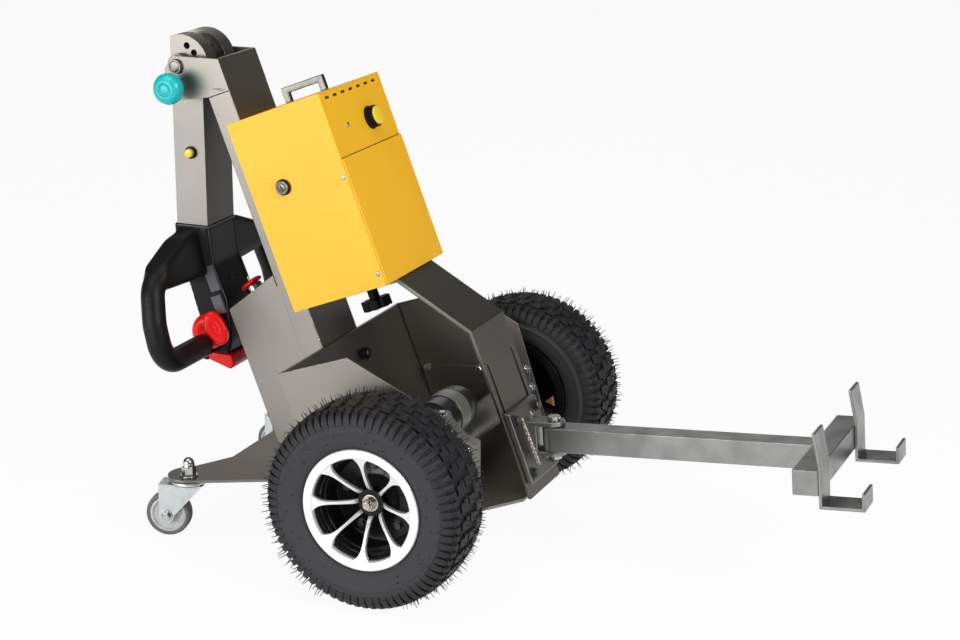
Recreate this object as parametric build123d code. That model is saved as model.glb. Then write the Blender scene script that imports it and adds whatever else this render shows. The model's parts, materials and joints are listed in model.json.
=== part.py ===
from build123d import *
import math
import os

os.makedirs("parts", exist_ok=True)

# Shared sizes in mm: X runs to the hooks, Z up, the wheel axis stands over X = 0
GAP = 0.3
PIN_CLEAR = 0.05
SHEET = 4.0
PLATE = 5.0
LEAN = 21.0
COS, SIN = math.cos(math.radians(LEAN)), math.sin(math.radians(LEAN))

# Drive wheels
TYRE_R = 165.0
TYRE_HALF = 62.5
TRACK_HALF = 307.0
TYRE_WALL = 17.0
TREADS = 32
NOTCH_WIDE = 9.0
NOTCH_IN = 16.0
NOTCH_DEEP = 7.0
NOTCH_SHOULDER = 26.0
RIM_R = 96.0
RIM_LIP = 53.0
BEAD_R = 80.0
BEAD_HALF = 46.0
BEAD_IN = 36.0
RING_WIDTH = 13.0
SPOKES = 8
SPOKE_WIDTH = 12.0
HUB_R = 34.0
HUB_DEPTH = 34.0
HUB_THICK = 10.0
AXLE_R = 10.0
NUT_FLATS = 24.0
NUT_LONG = 13.0

# Floor plate with its rear arms
FLOOR_DROP = 61.0
FLOOR_TOP = TYRE_R - FLOOR_DROP
FLOOR_REAR = -381.0
FLOOR_REAR_HALF = 72.0
FLOOR_NOSE = 150.0
FLOOR_NOSE_HALF = 66.0
FLOOR_FRONT = 88.0
WHEEL_CLEAR = 21.0
FLOOR_HALF = TRACK_HALF - TYRE_HALF - WHEEL_CLEAR
ARM_TIP_X = -408.0
ARM_TIP_Y = 174.0
ARM_TIP_R = 34.0

# Mast and its head: heights are above the floor plate, X is where the front passes that height
MAST_X = -299.3
MAST_HIGH = 629.0
MAST_MARK = 446.0
MAST_DEEP = 42.0
MAST_HALF = 63.5
MAST_WALL = 3.0
HEAD_HIGH = 50.0
HEAD_THICK = 6.0
PIVOT_DROP = 17.0
PIVOT_R = 6.0
PIVOT_EYE = 22.0
COLLAR_R = 19.0
PLUNGER_DROP = 31.0
KNOB_NECK = 17.0
KNOB_R = 24.0
KNOB_LONG = 34.0

# Rear bulkhead and side plates
BULK_HIGH = 212.5
PEAK_X, PEAK_HIGH = -85.5, 254.6
BROW_X, BROW_HIGH = 23.5, 203.0
AXLE_HOLE = 33.0

# Rear housing and its stop button
HOUSE_HIGH = 326.5
HOUSE_REAR_HIGH = 257.7
HOUSE_DEEP = 146.0
HOUSE_WALL = 3.0
STOP_BACK = 27.0
STOP_NECK_R = 11.0
STOP_NECK = 16.0
STOP_R = 20.0
STOP_CAP = 7.0

# Battery box, in the leaning frame: out from the mast, along the mast
BOX_BACK = GAP
BOX_FRONT = 178.0
BOX_LOW = -176.8
BOX_HIGH = 144.9
BOX_HALF = 109.5
BOX_WALL = 3.0
COVER_TOP = 35.5
COVER_THICK = 3.0
PACK_INSET = 12.0
VENTS = 7
VENT_ALONG = 134.0
VENT_PITCH = 28.0
VENT_WIDE = 14.0
VENT_TALL = 4.0
HANDLE_BACK = 58.0
HANDLE_FRONT = 138.0
HANDLE_BAR = 11.0
HANDLE_HIGH = 26.0
LOCK_OUT, LOCK_ALONG = 62.0, 22.0
LOCK_R = 13.0
LOCK_LONG = 8.0
DIAL_Y, DIAL_ALONG = 30.0, 79.0
DIAL_R = 19.0
DIAL_LONG = 14.0
STAR_STEM_R = 9.0
STAR_STEM = 22.0
STAR_R = 25.0
STAR_LONG = 17.0
STAR_LOBES = 8

# Spine strap from under the box to the floor
STRAP_HALF = 66.0
STRAP_BEND_X, STRAP_BEND_HIGH = 58.8, 271.0
SLOT_Y = 50.0
SLOT_WIDE = 9.0
SLOT_LONG = 120.0
SLOT_DROP = 60.0

# Drive unit
TUBE_R = 26.0
TUBE_SHORT = 18.5
MOTOR_X, MOTOR_HIGH = 17.0, 129.0
MOTOR_R = 37.5
MOTOR_LONG = 104.7
GEAR_NEAR, GEAR_FAR = -157.0, -125.0
GEAR_LINE = (  # X, height over the floor
    (-33.0, 24.0),
    (-44.0, 70.0),
    (-28.0, 134.0),
    (8.0, 153.0),
    (47.0, 155.0),
    (53.0, 143.0),
    (78.0, 119.0),
    (100.0, 113.0),
    (100.0, 52.0),
    (60.0, 24.0),
)
FOOT_HALF = 33.0
FLANGE_R = 48.0
FLANGE_THICK = 8.0

# Casters
STEM_X, STEM_Y = -402.0, 182.0
STEM_R = 6.0
RACE_R = 30.0
RACE_DEEP = 6.0
FORK_SHEET = 3.0
FORK_INNER = 15.0
LEG_HALF = 12.5
CASTER_CLEAR = 14.1
CASTER_HALF = 12.0
CASTER_TRAIL = 36.0
CASTER_YAW = 14.0
CASTER_WALL = 6.5
CASTER_ROUND = 2.5
CASTER_FACETS = 36
CASTER_PIN = 5.0
ACORN_R = 10.0
ACORN_HIGH = 34.0

# Tiller, hung from the pivot: outs are from the pivot, drops from the foot of the tube
TILLER_CLEAR = 19.3
NOSE_CLEAR = 6.0
TILLER_LONG = 269.0
TILLER_BACK = 20.0
TILLER_FRONT = 38.0
TILLER_HALF = 45.0
TILLER_WALL = 3.0
SECTOR_R = 50.0
SECTOR_HALF = 31.0
INDEX_R = 5.5
INDEX_HOLES = ((11.0, 32.0), (24.0, 21.0))  # out from the pivot, over it
BUTTON_OUT, BUTTON_RISE = 12.0, 123.0
BUTTON_R = 8.0
BUTTON_LONG = 9.0
BODY_HALF = 46.0
BODY_LINE = (  # out, drop
    (-28.0, 0.0),
    (38.0, 0.0),
    (45.0, 66.0),
    (69.0, 125.0),
    (76.0, 197.0),
    (69.0, 221.0),
    (24.0, 221.0),
    (14.0, 157.0),
    (-4.0, 97.0),
)
BELLY_LINE = ((23.0, 0.0), (72.0, 0.0), (78.0, 18.0), (70.0, 28.0), (26.0, 14.0))  # out, drop below the body
GRIP_OUT, GRIP_DROP = 8.0, 57.0
GRIP_LEAN = 12.0
GRIP_R = 20.0
GRIP_Y = 202.0
GRIP_SHOULDER, GRIP_ELBOW, GRIP_LOW = -8.0, -75.0, -146.0
WING_HALF = 23.0
WING_TOP, WING_LOW = 53.0, -32.0
WING_ROUND = 9.0
THROTTLE_OUT, THROTTLE_DROP = 42.0, 179.0
THROTTLE_R = 30.0
THROTTLE_THICK = 26.0
SHAFT_OUT, SHAFT_DROP = 32.0, 191.0
SHAFT_R = 8.0

# Tow hitch and arm, tilted together about the pin
PITCH = 4.2
PIN_X, PIN_HIGH = 178.0, 88.0
PIN_R = 7.0
ARM_HALF = 20.0
ARM_WALL = 3.0
ARM_LONG = 432.0
BEAM_HALF = 138.0
HOOK_SHEET = 5.0
HOOK_WIDE = 50.0
HOOK_TOP, HOOK_BEND, HOOK_LOW, HOOK_LIP = 77.0, 24.0, -40.0, -12.0
HOOK_LEAN = 9.0
HOOK_REACH = 70.0
LUG_THICK = 8.0
LUG_HALF = 18.0
LUG_CLEAR = 1.0
HITCH_THICK = 9.0
HITCH_HALF = 58.0
HITCH_HIGH, HITCH_LOW = 136.0, 24.0

# Heights that the rest hangs on
ON_FLOOR = FLOOR_TOP + GAP
UNDER_FLOOR = FLOOR_TOP - PLATE - GAP
MAST_Z = FLOOR_TOP + MAST_MARK
MAST_TOP = FLOOR_TOP + MAST_HIGH
HEAD_TOP = MAST_TOP + HEAD_HIGH
PIVOT_Z = HEAD_TOP - PIVOT_DROP
TILLER_FOOT = PIVOT_Z - TILLER_LONG
STRAP_BEND_Z = FLOOR_TOP + STRAP_BEND_HIGH
MOTOR_Z = FLOOR_TOP + MOTOR_HIGH
PIN_Z = FLOOR_TOP + PIN_HIGH


# Short makers
def lean(out, along):
    """The X, Z of a point in the leaning frame of the mast."""
    return MAST_X + out * COS - along * SIN, MAST_Z + out * SIN + along * COS


def lean_at(out, height):
    """The X, Z where the leaning line at this offset crosses a height."""
    return lean(out, (height - MAST_Z - out * SIN) / COS)


def outline(points):
    """A flat face inside these points, always facing the same way."""
    turns = zip(points, points[1:] + points[:1])
    area = sum(a[0] * b[1] - b[0] * a[1] for a, b in turns)
    return make_face(Polyline(*(points if area > 0 else points[::-1]), close=True))


def slab(points, half, mid=0.0):
    """A side outline in X, Z given thickness both ways along Y."""
    return Pos(0, mid, 0) * extrude(Plane.XZ * outline(points), half, both=True)


def panel(points, low, thick):
    """A plan outline in X, Y raised from a height."""
    return Pos(0, 0, low) * extrude(outline(points), thick)


def rod(radius, near, far, x=0.0, z=0.0):
    """A round bar along Y."""
    bar = Cylinder(radius, far - near, align=(Align.CENTER, Align.CENTER, Align.MIN))
    return Pos(x, near, z) * Rot(-90, 0, 0) * bar


def post(radius, low, high, x=0.0, y=0.0):
    """A round bar along Z."""
    bar = Cylinder(radius, high - low, align=(Align.CENTER, Align.CENTER, Align.MIN))
    return Pos(x, y, low) * bar


def block(x0, x1, y0, y1, z0, z1):
    """A box from its six limits."""
    return Pos((x0 + x1) / 2, (y0 + y1) / 2, (z0 + z1) / 2) * Box(x1 - x0, y1 - y0, z1 - z0)


def spun(*lines):
    """Y, R outlines joined and turned about the Y axis."""
    solids = [revolve(outline([(r, y) for y, r in line]), Axis.Y) for line in lines]
    return solids[0].fuse(*solids[1:]) if solids[1:] else solids[0]


def ring_pair(outer, inner):
    """A closed ring outline from a half outline, mirrored across the wheel's middle."""
    left = [(-y, r) for y, r in outer[::-1]][1:]
    inside = [(-y, r) for y, r in inner[::-1]]
    return outer + left + inside + inner[1:]


def faceted(sides, stations):
    """A flat-sided wheel shape along Y through these Y, R stations, one flat at the bottom."""
    rings = [
        Plane(origin=(0, y, 0), x_dir=(1, 0, 0), z_dir=(0, 1, 0))
        * RegularPolygon(r, sides, major_radius=False, rotation=180 / sides)
        for y, r in stations
    ]
    return loft(rings, ruled=True)


def flip(shape):
    """The same shape on the other side of the machine."""
    return mirror(shape, about=Plane.XZ)


LEANING = Pos(MAST_X, 0, MAST_Z) * Rot(0, -LEAN, 0)
HITCH = Pos(PIN_X, 0, PIN_Z) * Rot(0, -PITCH, 0)
nodes = {}

# Floor, with an arm to each caster
tip = post(ARM_TIP_R, FLOOR_TOP - PLATE, FLOOR_TOP, ARM_TIP_X, -ARM_TIP_Y)
arm_points = [
    (ARM_TIP_X - ARM_TIP_R * SIN, -ARM_TIP_Y + ARM_TIP_R * COS),
    (ARM_TIP_X + ARM_TIP_R * SIN, -ARM_TIP_Y - ARM_TIP_R * COS),
    (FLOOR_REAR / 2, -FLOOR_REAR_HALF - ARM_TIP_R),
    (FLOOR_REAR / 2, 0),
    (FLOOR_REAR, 0),
    (FLOOR_REAR, -FLOOR_REAR_HALF),
]
rear_arm = tip + panel(arm_points, FLOOR_TOP - PLATE, PLATE)
half_points = [
    (FLOOR_REAR / 2, 0),
    (FLOOR_REAR / 2, -FLOOR_REAR_HALF - ARM_TIP_R),
    (lean_at(0, FLOOR_TOP)[0], -FLOOR_HALF),
    (FLOOR_FRONT, -FLOOR_HALF),
    (FLOOR_FRONT, -FLOOR_HALF + FLOOR_NOSE_HALF),
    (FLOOR_NOSE, -FLOOR_NOSE_HALF),
    (FLOOR_NOSE, 0),
]
half_floor = rear_arm + panel(half_points, FLOOR_TOP - PLATE, PLATE)
half_floor -= post(STEM_R + GAP, 0, FLOOR_TOP + PLATE, STEM_X, -STEM_Y)
nodes["base_plate"] = half_floor + flip(half_floor)

# Mast tube, and the U-shaped head on top of it
mast_end = (MAST_TOP - MAST_Z) / COS
mast_outer = [
    lean_at(0, ON_FLOOR),
    lean(0, mast_end),
    lean(-MAST_DEEP, mast_end),
    lean_at(-MAST_DEEP, ON_FLOOR),
]
mast_inner = [
    lean_at(-MAST_WALL, UNDER_FLOOR),
    lean_at(-MAST_WALL, HEAD_TOP),
    lean_at(MAST_WALL - MAST_DEEP, HEAD_TOP),
    lean_at(MAST_WALL - MAST_DEEP, UNDER_FLOOR),
]
nodes["mast"] = slab(mast_outer, MAST_HALF) - slab(mast_inner, MAST_HALF - MAST_WALL)

# The tiller hangs behind both the mast and the housing
house_corner = lean_at(-HOUSE_DEEP, FLOOR_TOP + HOUSE_REAR_HIGH)
behind_mast = lean(-MAST_DEEP, mast_end)[0] - TILLER_FRONT - TILLER_CLEAR
behind_house = house_corner[0] - max(out for out, drop in BELLY_LINE) - NOSE_CLEAR
PIVOT_X = min(behind_mast, behind_house)

head_low = mast_end + GAP
nose_back = PIVOT_X - PIVOT_EYE
head_side = [
    lean(0, head_low),
    lean_at(0, HEAD_TOP),
    (PIVOT_X - PIVOT_R, HEAD_TOP),
    (nose_back, PIVOT_Z - PIVOT_R),
    (nose_back + PIVOT_R, PIVOT_Z - 2 * PIVOT_EYE),
    (PIVOT_X, PIVOT_Z - HEAD_HIGH - PIVOT_R),
    lean(-MAST_DEEP, head_low),
]
head_front = [
    lean(0, head_low),
    lean_at(0, HEAD_TOP),
    lean_at(-HEAD_THICK, HEAD_TOP),
    lean(-HEAD_THICK, head_low),
]
cheek_mid = MAST_HALF - HEAD_THICK / 2
head = slab(head_front, MAST_HALF)
cheek_face = outline(head_side)
cheek_face = fillet(cheek_face.vertices().sort_by(Axis.X)[:3], PIVOT_R)
cheek = extrude(Plane.XZ * cheek_face, HEAD_THICK / 2, both=True)
cheek -= rod(PIVOT_R + GAP, -HEAD_THICK, HEAD_THICK, PIVOT_X, PIVOT_Z)
nodes["mast_head"] = head + Pos(0, -cheek_mid, 0) * cheek + Pos(0, cheek_mid, 0) * cheek

# Pivot bolt with its heads outside and a spacer collar inside each cheek
bolt = rod(PIVOT_R, -MAST_HALF - GAP, MAST_HALF + GAP, PIVOT_X, PIVOT_Z)
collar_ends = (TILLER_HALF + GAP, MAST_HALF - HEAD_THICK - GAP)
half_bolt = rod(2 * PIVOT_R, MAST_HALF + GAP, MAST_HALF + GAP + PIVOT_R, PIVOT_X, PIVOT_Z)
half_bolt += rod(COLLAR_R, *collar_ends, PIVOT_X, PIVOT_Z)
nodes["pivot_bolt"] = bolt + half_bolt + flip(half_bolt)

# Fold-lock plunger under the pivot, with its turquoise knob outside
plunger = (PIVOT_X + PIVOT_R, PIVOT_Z - PLUNGER_DROP)
plunger_face = -MAST_HALF - GAP
knob_face = plunger_face - KNOB_NECK
bulb = [  # share of the length, share of the radius
    (knob_face - share * KNOB_LONG, swell * KNOB_R)
    for share, swell in ((0.0, 0.5), (0.18, 0.86), (0.45, 1.0), (0.8, 0.95), (1.0, 0.7), (1.0, 0.0))
]
knob = spun([(plunger_face, 0.0), (plunger_face, PIVOT_R), (knob_face, PIVOT_R)] + bulb)
nodes["plunger_knob"] = Pos(plunger[0], 0, plunger[1]) * knob

# Bulkhead in front of the mast foot, side plates beside it
bulk_top = FLOOR_TOP + BULK_HIGH
bulk = [
    lean_at(GAP, ON_FLOOR),
    lean_at(GAP, bulk_top),
    lean_at(GAP + PLATE, bulk_top),
    lean_at(GAP + PLATE, ON_FLOOR),
]
nodes["rear_bulkhead"] = slab(bulk, FLOOR_HALF - SHEET - GAP)
side_outline = [
    lean_at(0, ON_FLOOR),
    lean_at(0, bulk_top),
    (PEAK_X, FLOOR_TOP + PEAK_HIGH),
    (BROW_X, FLOOR_TOP + BROW_HIGH),
    (FLOOR_FRONT, ON_FLOOR),
]
side_plate = slab(side_outline, SHEET / 2, SHEET / 2 - FLOOR_HALF)
side_plate -= rod(AXLE_HOLE, -2 * FLOOR_HALF, 0, 0, TYRE_R)
nodes["side_plate_right"] = side_plate
nodes["side_plate_left"] = flip(side_plate)

# Housing behind the mast, open to the mast and the floor
house_back = HOUSE_DEEP - HOUSE_WALL
house_top = FLOOR_TOP + HOUSE_HIGH
house_outer = [
    lean_at(-MAST_DEEP - GAP, ON_FLOOR),
    lean_at(-MAST_DEEP - GAP, house_top),
    house_corner,
    lean_at(-HOUSE_DEEP, ON_FLOOR),
]
house_inner = [
    lean_at(-MAST_DEEP, UNDER_FLOOR),
    lean_at(-MAST_DEEP, house_top - 2 * HOUSE_WALL),
    lean_at(-house_back, house_corner[1] - HOUSE_WALL),
    lean_at(-house_back, UNDER_FLOOR),
]
nodes["rear_housing"] = slab(house_outer, MAST_HALF) - slab(house_inner, MAST_HALF - HOUSE_WALL)

# Stop button on the sloping top of the housing
slope_front = house_outer[1]
slope = math.atan2(slope_front[1] - house_corner[1], slope_front[0] - house_corner[0])
stop_foot = (
    house_corner[0] + STOP_BACK * math.cos(slope),
    house_corner[1] + STOP_BACK * math.sin(slope),
)
stop = post(STOP_NECK_R, GAP, STOP_NECK) + post(STOP_R, STOP_NECK, STOP_NECK + STOP_CAP)
nodes["stop_button"] = Pos(stop_foot[0], 0, stop_foot[1]) * Rot(0, -math.degrees(slope), 0) * stop

# Battery box hung on the mast front, with its vents, handle, lock and knobs
case = block(BOX_BACK, BOX_FRONT, -BOX_HALF, BOX_HALF, BOX_LOW, BOX_HIGH)
case -= block(
    BOX_BACK + BOX_WALL,
    BOX_FRONT - BOX_WALL,
    BOX_WALL - BOX_HALF,
    BOX_HALF - BOX_WALL,
    BOX_LOW + BOX_WALL,
    BOX_HIGH - BOX_WALL,
)
vent_ends = (VENT_ALONG - VENT_TALL / 2, VENT_ALONG + VENT_TALL / 2)
for vent in range(VENTS):
    middle = (vent - (VENTS - 1) / 2) * VENT_PITCH
    sides = (middle - VENT_WIDE / 2, middle + VENT_WIDE / 2)
    case -= block(BOX_FRONT - 2 * BOX_WALL, BOX_FRONT + BOX_WALL, *sides, *vent_ends)
nodes["battery_case"] = LEANING * case
cover_face = BOX_FRONT + GAP
cover = block(cover_face, cover_face + COVER_THICK, -BOX_HALF, BOX_HALF, BOX_LOW, COVER_TOP)
nodes["battery_cover"] = LEANING * cover
pack = block(
    BOX_BACK + PACK_INSET,
    BOX_FRONT - PACK_INSET,
    PACK_INSET - BOX_HALF,
    BOX_HALF - PACK_INSET,
    BOX_LOW + BOX_WALL + GAP,
    COVER_TOP,
)
nodes["battery_pack"] = LEANING * pack
handle_low = BOX_HIGH + GAP
handle_top = handle_low + HANDLE_HIGH
handle = block(HANDLE_BACK, HANDLE_FRONT, -HANDLE_BAR / 2, HANDLE_BAR / 2, handle_low, handle_top)
handle -= block(
    HANDLE_BACK + HANDLE_BAR,
    HANDLE_FRONT - HANDLE_BAR,
    -HANDLE_BAR,
    HANDLE_BAR,
    handle_low - HANDLE_BAR,
    handle_top - HANDLE_BAR,
)
nodes["box_handle"] = LEANING * handle
lock = rod(LOCK_R, -BOX_HALF - GAP - LOCK_LONG, -BOX_HALF - GAP, LOCK_OUT, LOCK_ALONG)
nodes["key_lock"] = LEANING * lock
dial = Pos(cover_face, DIAL_Y, DIAL_ALONG) * Rot(0, 90, 0) * post(DIAL_R, 0, DIAL_LONG)
nodes["front_dial"] = LEANING * dial

# Spine strap: shelf under the box, slope, then down along the hitch to the floor
shelf_low = BOX_LOW - GAP
foot_x = STRAP_BEND_X + (STRAP_BEND_Z - ON_FLOOR) * SIN / COS
shelf_end = lean(BOX_FRONT, shelf_low)
strap_line = [
    lean(GAP, shelf_low),
    shelf_end,
    (STRAP_BEND_X, STRAP_BEND_Z),
    (foot_x, ON_FLOOR),
    (foot_x - PLATE / COS, ON_FLOOR),
    (STRAP_BEND_X - PLATE, STRAP_BEND_Z - PLATE),
    lean(BOX_FRONT - PLATE, shelf_low - PLATE),
    lean(GAP, shelf_low - PLATE),
]
strap = slab(strap_line, STRAP_HALF)
DOWN_STRAP = Pos(STRAP_BEND_X, 0, STRAP_BEND_Z) * Rot(0, -LEAN, 0)
for middle in (-SLOT_Y, SLOT_Y):
    sides = (middle - SLOT_WIDE / 2, middle + SLOT_WIDE / 2)
    strap -= DOWN_STRAP * block(-2 * PLATE, PLATE, *sides, -SLOT_DROP - SLOT_LONG, -SLOT_DROP)
nodes["front_strap"] = strap

# Lobed knob under the middle of the shelf, on the screw that holds the box down
star_top = shelf_low - PLATE - GAP
star_low = star_top - STAR_STEM - STAR_LONG
star = post(STAR_STEM_R, star_low, star_top) + post(STAR_R, star_low, star_low + STAR_LONG)
for lobe in range(STAR_LOBES):
    dent = post(STAR_R / 5, star_low - GAP, star_low + STAR_LONG + GAP, STAR_R)
    star -= Rot(0, 0, lobe * 360 / STAR_LOBES) * dent
nodes["star_knob"] = LEANING * Pos((BOX_BACK + BOX_FRONT) / 2, 0, 0) * star

# Drive unit across the floor
tube_half = FLOOR_HALF - TUBE_SHORT
unit = rod(TUBE_R, -tube_half, tube_half, 0, TYRE_R)
gear_case = [(x, FLOOR_TOP + high) for x, high in GEAR_LINE]
gear_mid, gear_half = (GEAR_NEAR + GEAR_FAR) / 2, (GEAR_FAR - GEAR_NEAR) / 2
unit += slab(gear_case, gear_half, gear_mid)
unit += block(-FOOT_HALF, FOOT_HALF, GEAR_NEAR, GEAR_FAR, ON_FLOOR, TYRE_R)
nodes["drive_unit"] = unit
motor_near = GEAR_FAR + GAP
nodes["motor"] = rod(MOTOR_R, motor_near, motor_near + MOTOR_LONG, MOTOR_X, MOTOR_Z)
flange = rod(FLANGE_R, -FLOOR_HALF - GAP - FLANGE_THICK, -FLOOR_HALF - GAP, 0, TYRE_R)
flange += rod(AXLE_HOLE - GAP, -FLOOR_HALF - GAP, -tube_half - GAP, 0, TYRE_R)
flange -= rod(AXLE_R + PIN_CLEAR, -TRACK_HALF, 0, 0, TYRE_R)
nodes["axle_flange_right"] = flange
nodes["axle_flange_left"] = flip(flange)

# Tyres: one flat to each tread block, notches down both shoulders, a block apart
section = TYRE_R - RIM_R
crown = [  # share of the half width, share of the section height
    (share * TYRE_HALF, RIM_R + rise * section)
    for share, rise in ((0.32, 1.0), (0.72, 0.94), (0.92, 0.74), (1.0, 0.46))
]
tyre = faceted(TREADS, [(-y, r) for y, r in crown[::-1]] + crown)
bead_face, bead_top = BEAD_HALF - GAP, RIM_R + GAP
flare = section / TYRE_HALF
side_reach = TYRE_HALF + PLATE
recess = faceted(TREADS, [(bead_face, bead_top), (side_reach, bead_top + flare * (side_reach - bead_face))])
tyre -= [recess, flip(recess)]
tyre -= faceted(TREADS, [(-TYRE_HALF, BEAD_R + GAP), (TYRE_HALF, BEAD_R + GAP)])
tyre -= faceted(TREADS, [(-BEAD_IN, TYRE_R - TYRE_WALL), (BEAD_IN, TYRE_R - TYRE_WALL)])
notch_line = [
    (TYRE_R + NOTCH_DEEP, NOTCH_IN),
    (TYRE_R - NOTCH_DEEP, NOTCH_IN),
    (TYRE_R - NOTCH_SHOULDER, TYRE_HALF - NOTCH_DEEP),
    (TYRE_R - NOTCH_SHOULDER, side_reach),
    (TYRE_R + NOTCH_DEEP, side_reach),
]
notch = extrude(outline(notch_line), NOTCH_WIDE / 2, both=True)
pitch = 360 / TREADS
notches = [Rot(0, (turn + 0.5) * pitch, 0) * notch for turn in range(TREADS)]
notches += [Rot(0, turn * pitch, 0) * flip(notch) for turn in range(TREADS)]
tyre -= notches

# Rims: barrel, dished spokes, closed inner disc
dish_low = RIM_LIP - HUB_DEPTH
hub_end = dish_low - 3 * HUB_THICK
ring_in, barrel_in, mid_wall = RIM_R - RING_WIDTH, BEAD_R - SHEET, BEAD_R - SHEET / 2
barrel = ring_pair(
    [(RIM_LIP, ring_in), (RIM_LIP, RIM_R), (BEAD_HALF, RIM_R), (BEAD_HALF, BEAD_R), (0, BEAD_R)],
    [(0, barrel_in), (BEAD_HALF - SHEET, barrel_in)],
)
spoke_root = BEAD_HALF - 2 * SHEET
dish = [
    (dish_low, AXLE_R + PIN_CLEAR),
    (dish_low, HUB_R),
    (spoke_root, mid_wall),
    (spoke_root - HUB_THICK, mid_wall),
    (dish_low - HUB_THICK, HUB_R),
    (hub_end, HUB_R),
    (hub_end, AXLE_R + PIN_CLEAR),
]
rim = spun(barrel, dish)
half_gap = SPOKE_WIDTH / 2
half_turn = math.radians(180 / SPOKES)
reach = barrel_in - SHEET
wedge = [
    (HUB_R + SHEET, 0),
    (HUB_R + SPOKE_WIDTH, HUB_R * math.sin(half_turn) - half_gap / SHEET),
    (reach * math.cos(half_turn), reach * math.sin(half_turn) - half_gap),
    (reach, 0),
    (reach * math.cos(half_turn), half_gap - reach * math.sin(half_turn)),
    (HUB_R + SPOKE_WIDTH, half_gap / SHEET - HUB_R * math.sin(half_turn)),
]
window = slab(wedge, RIM_LIP)
rim -= [Rot(0, (spoke + 0.5) * 360 / SPOKES, 0) * window for spoke in range(SPOKES)]
disc = rod(mid_wall, hub_end, hub_end + SHEET) - rod(HUB_R - SHEET, -RIM_LIP, RIM_LIP)
rim += disc

# Stub axle with its locking nut
right_wheel, left_wheel = Pos(0, -TRACK_HALF, TYRE_R), Pos(0, TRACK_HALF, TYRE_R)
stub = rod(AXLE_R, tube_half + GAP - TRACK_HALF, dish_low + NUT_LONG)
hexagon = RegularPolygon(NUT_FLATS / 2, 6, major_radius=False)
stub += Pos(0, dish_low + GAP, 0) * Rot(-90, 0, 0) * extrude(hexagon, NUT_LONG)
nodes["axle_left"] = left_wheel * stub
nodes["axle_right"] = flip(nodes["axle_left"])
nodes["tyre_right"] = right_wheel * flip(tyre)
nodes["tyre_left"] = left_wheel * tyre
nodes["rim_right"] = right_wheel * flip(rim)
nodes["rim_left"] = left_wheel * rim

# Casters: stem and race stay on the floor, fork and wheel turn under them
race_low = UNDER_FLOOR - RACE_DEEP
fork_top = race_low - GAP
king_low = fork_top - FORK_SHEET - GAP
caster_r = (fork_top - FORK_SHEET - CASTER_CLEAR) / 2
core_r = caster_r - CASTER_WALL
dome = ON_FLOOR + ACORN_HIGH - ACORN_R
stem = post(ACORN_R, ON_FLOOR, dome) + Pos(0, 0, dome) * Sphere(ACORN_R - PIN_CLEAR)
stem += post(STEM_R, king_low - FORK_SHEET, ON_FLOOR) + post(RACE_R, race_low, UNDER_FLOOR)
stem += post(ACORN_R, king_low - FORK_SHEET, king_low)
fork_leg = [
    (RACE_R - FORK_SHEET, fork_top),
    (-CASTER_TRAIL - LEG_HALF, fork_top),
    (-CASTER_TRAIL - LEG_HALF, caster_r),
    (-CASTER_TRAIL + LEG_HALF, caster_r),
]
fork_half = FORK_INNER + FORK_SHEET
fork = slab(fork_leg, fork_half) + rod(LEG_HALF, -fork_half, fork_half, -CASTER_TRAIL, caster_r)
fork -= block(-2 * caster_r - CASTER_TRAIL, RACE_R, -FORK_INNER, FORK_INNER, 0, fork_top - FORK_SHEET)
fork += post(RACE_R - FORK_SHEET, fork_top - FORK_SHEET, fork_top)
fork -= post(STEM_R + PIN_CLEAR, 0, fork_top + GAP)
fork += rod(CASTER_PIN, -fork_half - FORK_SHEET, fork_half + FORK_SHEET, -CASTER_TRAIL, caster_r)
wheel_at = Pos(-CASTER_TRAIL, 0, caster_r)
edge = (CASTER_HALF - CASTER_ROUND, caster_r)
side = (CASTER_HALF, caster_r - CASTER_ROUND)
caster_tyre = faceted(CASTER_FACETS, [(-side[0], side[1]), (-edge[0], edge[1]), edge, side])
caster_tyre -= faceted(CASTER_FACETS, [(-caster_r, core_r), (caster_r, core_r)])
core_half = CASTER_HALF - FORK_SHEET / 2
caster_core = rod(core_r - PIN_CLEAR, -core_half, core_half)
caster_core -= rod(CASTER_PIN + PIN_CLEAR, -caster_r, caster_r)
casters = (("right", -STEM_Y, CASTER_YAW), ("left", STEM_Y, -CASTER_YAW))
for name, stem_y, yaw in casters:
    place = Pos(STEM_X, stem_y, 0)
    turned = place * Rot(0, 0, yaw)
    nodes[f"caster_stem_{name}"] = place * stem
    nodes[f"caster_fork_{name}"] = turned * fork
    nodes[f"caster_tyre_{name}"] = turned * wheel_at * caster_tyre
    nodes[f"caster_core_{name}"] = turned * wheel_at * caster_core

# Tiller tube hanging from the pivot
tube_back, tube_front = PIVOT_X - TILLER_BACK, PIVOT_X + TILLER_FRONT
sector = rod(SECTOR_R, -TILLER_HALF, TILLER_HALF, PIVOT_X, PIVOT_Z)
sector_front, sector_top = PIVOT_X + SECTOR_R, PIVOT_Z + SECTOR_R
sector = sector & block(tube_back, sector_front, -TILLER_HALF, TILLER_HALF, PIVOT_Z, sector_top)
tube = sector + block(tube_back, tube_front, -TILLER_HALF, TILLER_HALF, TILLER_FOOT, PIVOT_Z)
tube -= block(
    tube_back + TILLER_WALL,
    tube_front - TILLER_WALL,
    TILLER_WALL - TILLER_HALF,
    TILLER_HALF - TILLER_WALL,
    TILLER_FOOT - PLATE,
    PIVOT_Z - PIVOT_EYE,
)
slot_half = TILLER_HALF - SECTOR_HALF
tube -= block(tube_back - PLATE, sector_front, -slot_half, slot_half, PIVOT_Z - PIVOT_EYE, sector_top)
tube -= rod(PIVOT_R + PIN_CLEAR, -TILLER_HALF, TILLER_HALF, PIVOT_X, PIVOT_Z)
for out, over in INDEX_HOLES:
    tube -= rod(INDEX_R, -TILLER_HALF, TILLER_HALF, PIVOT_X + out, PIVOT_Z + over)
nodes["tiller_tube"] = tube
button_face = -TILLER_HALF - GAP
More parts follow.
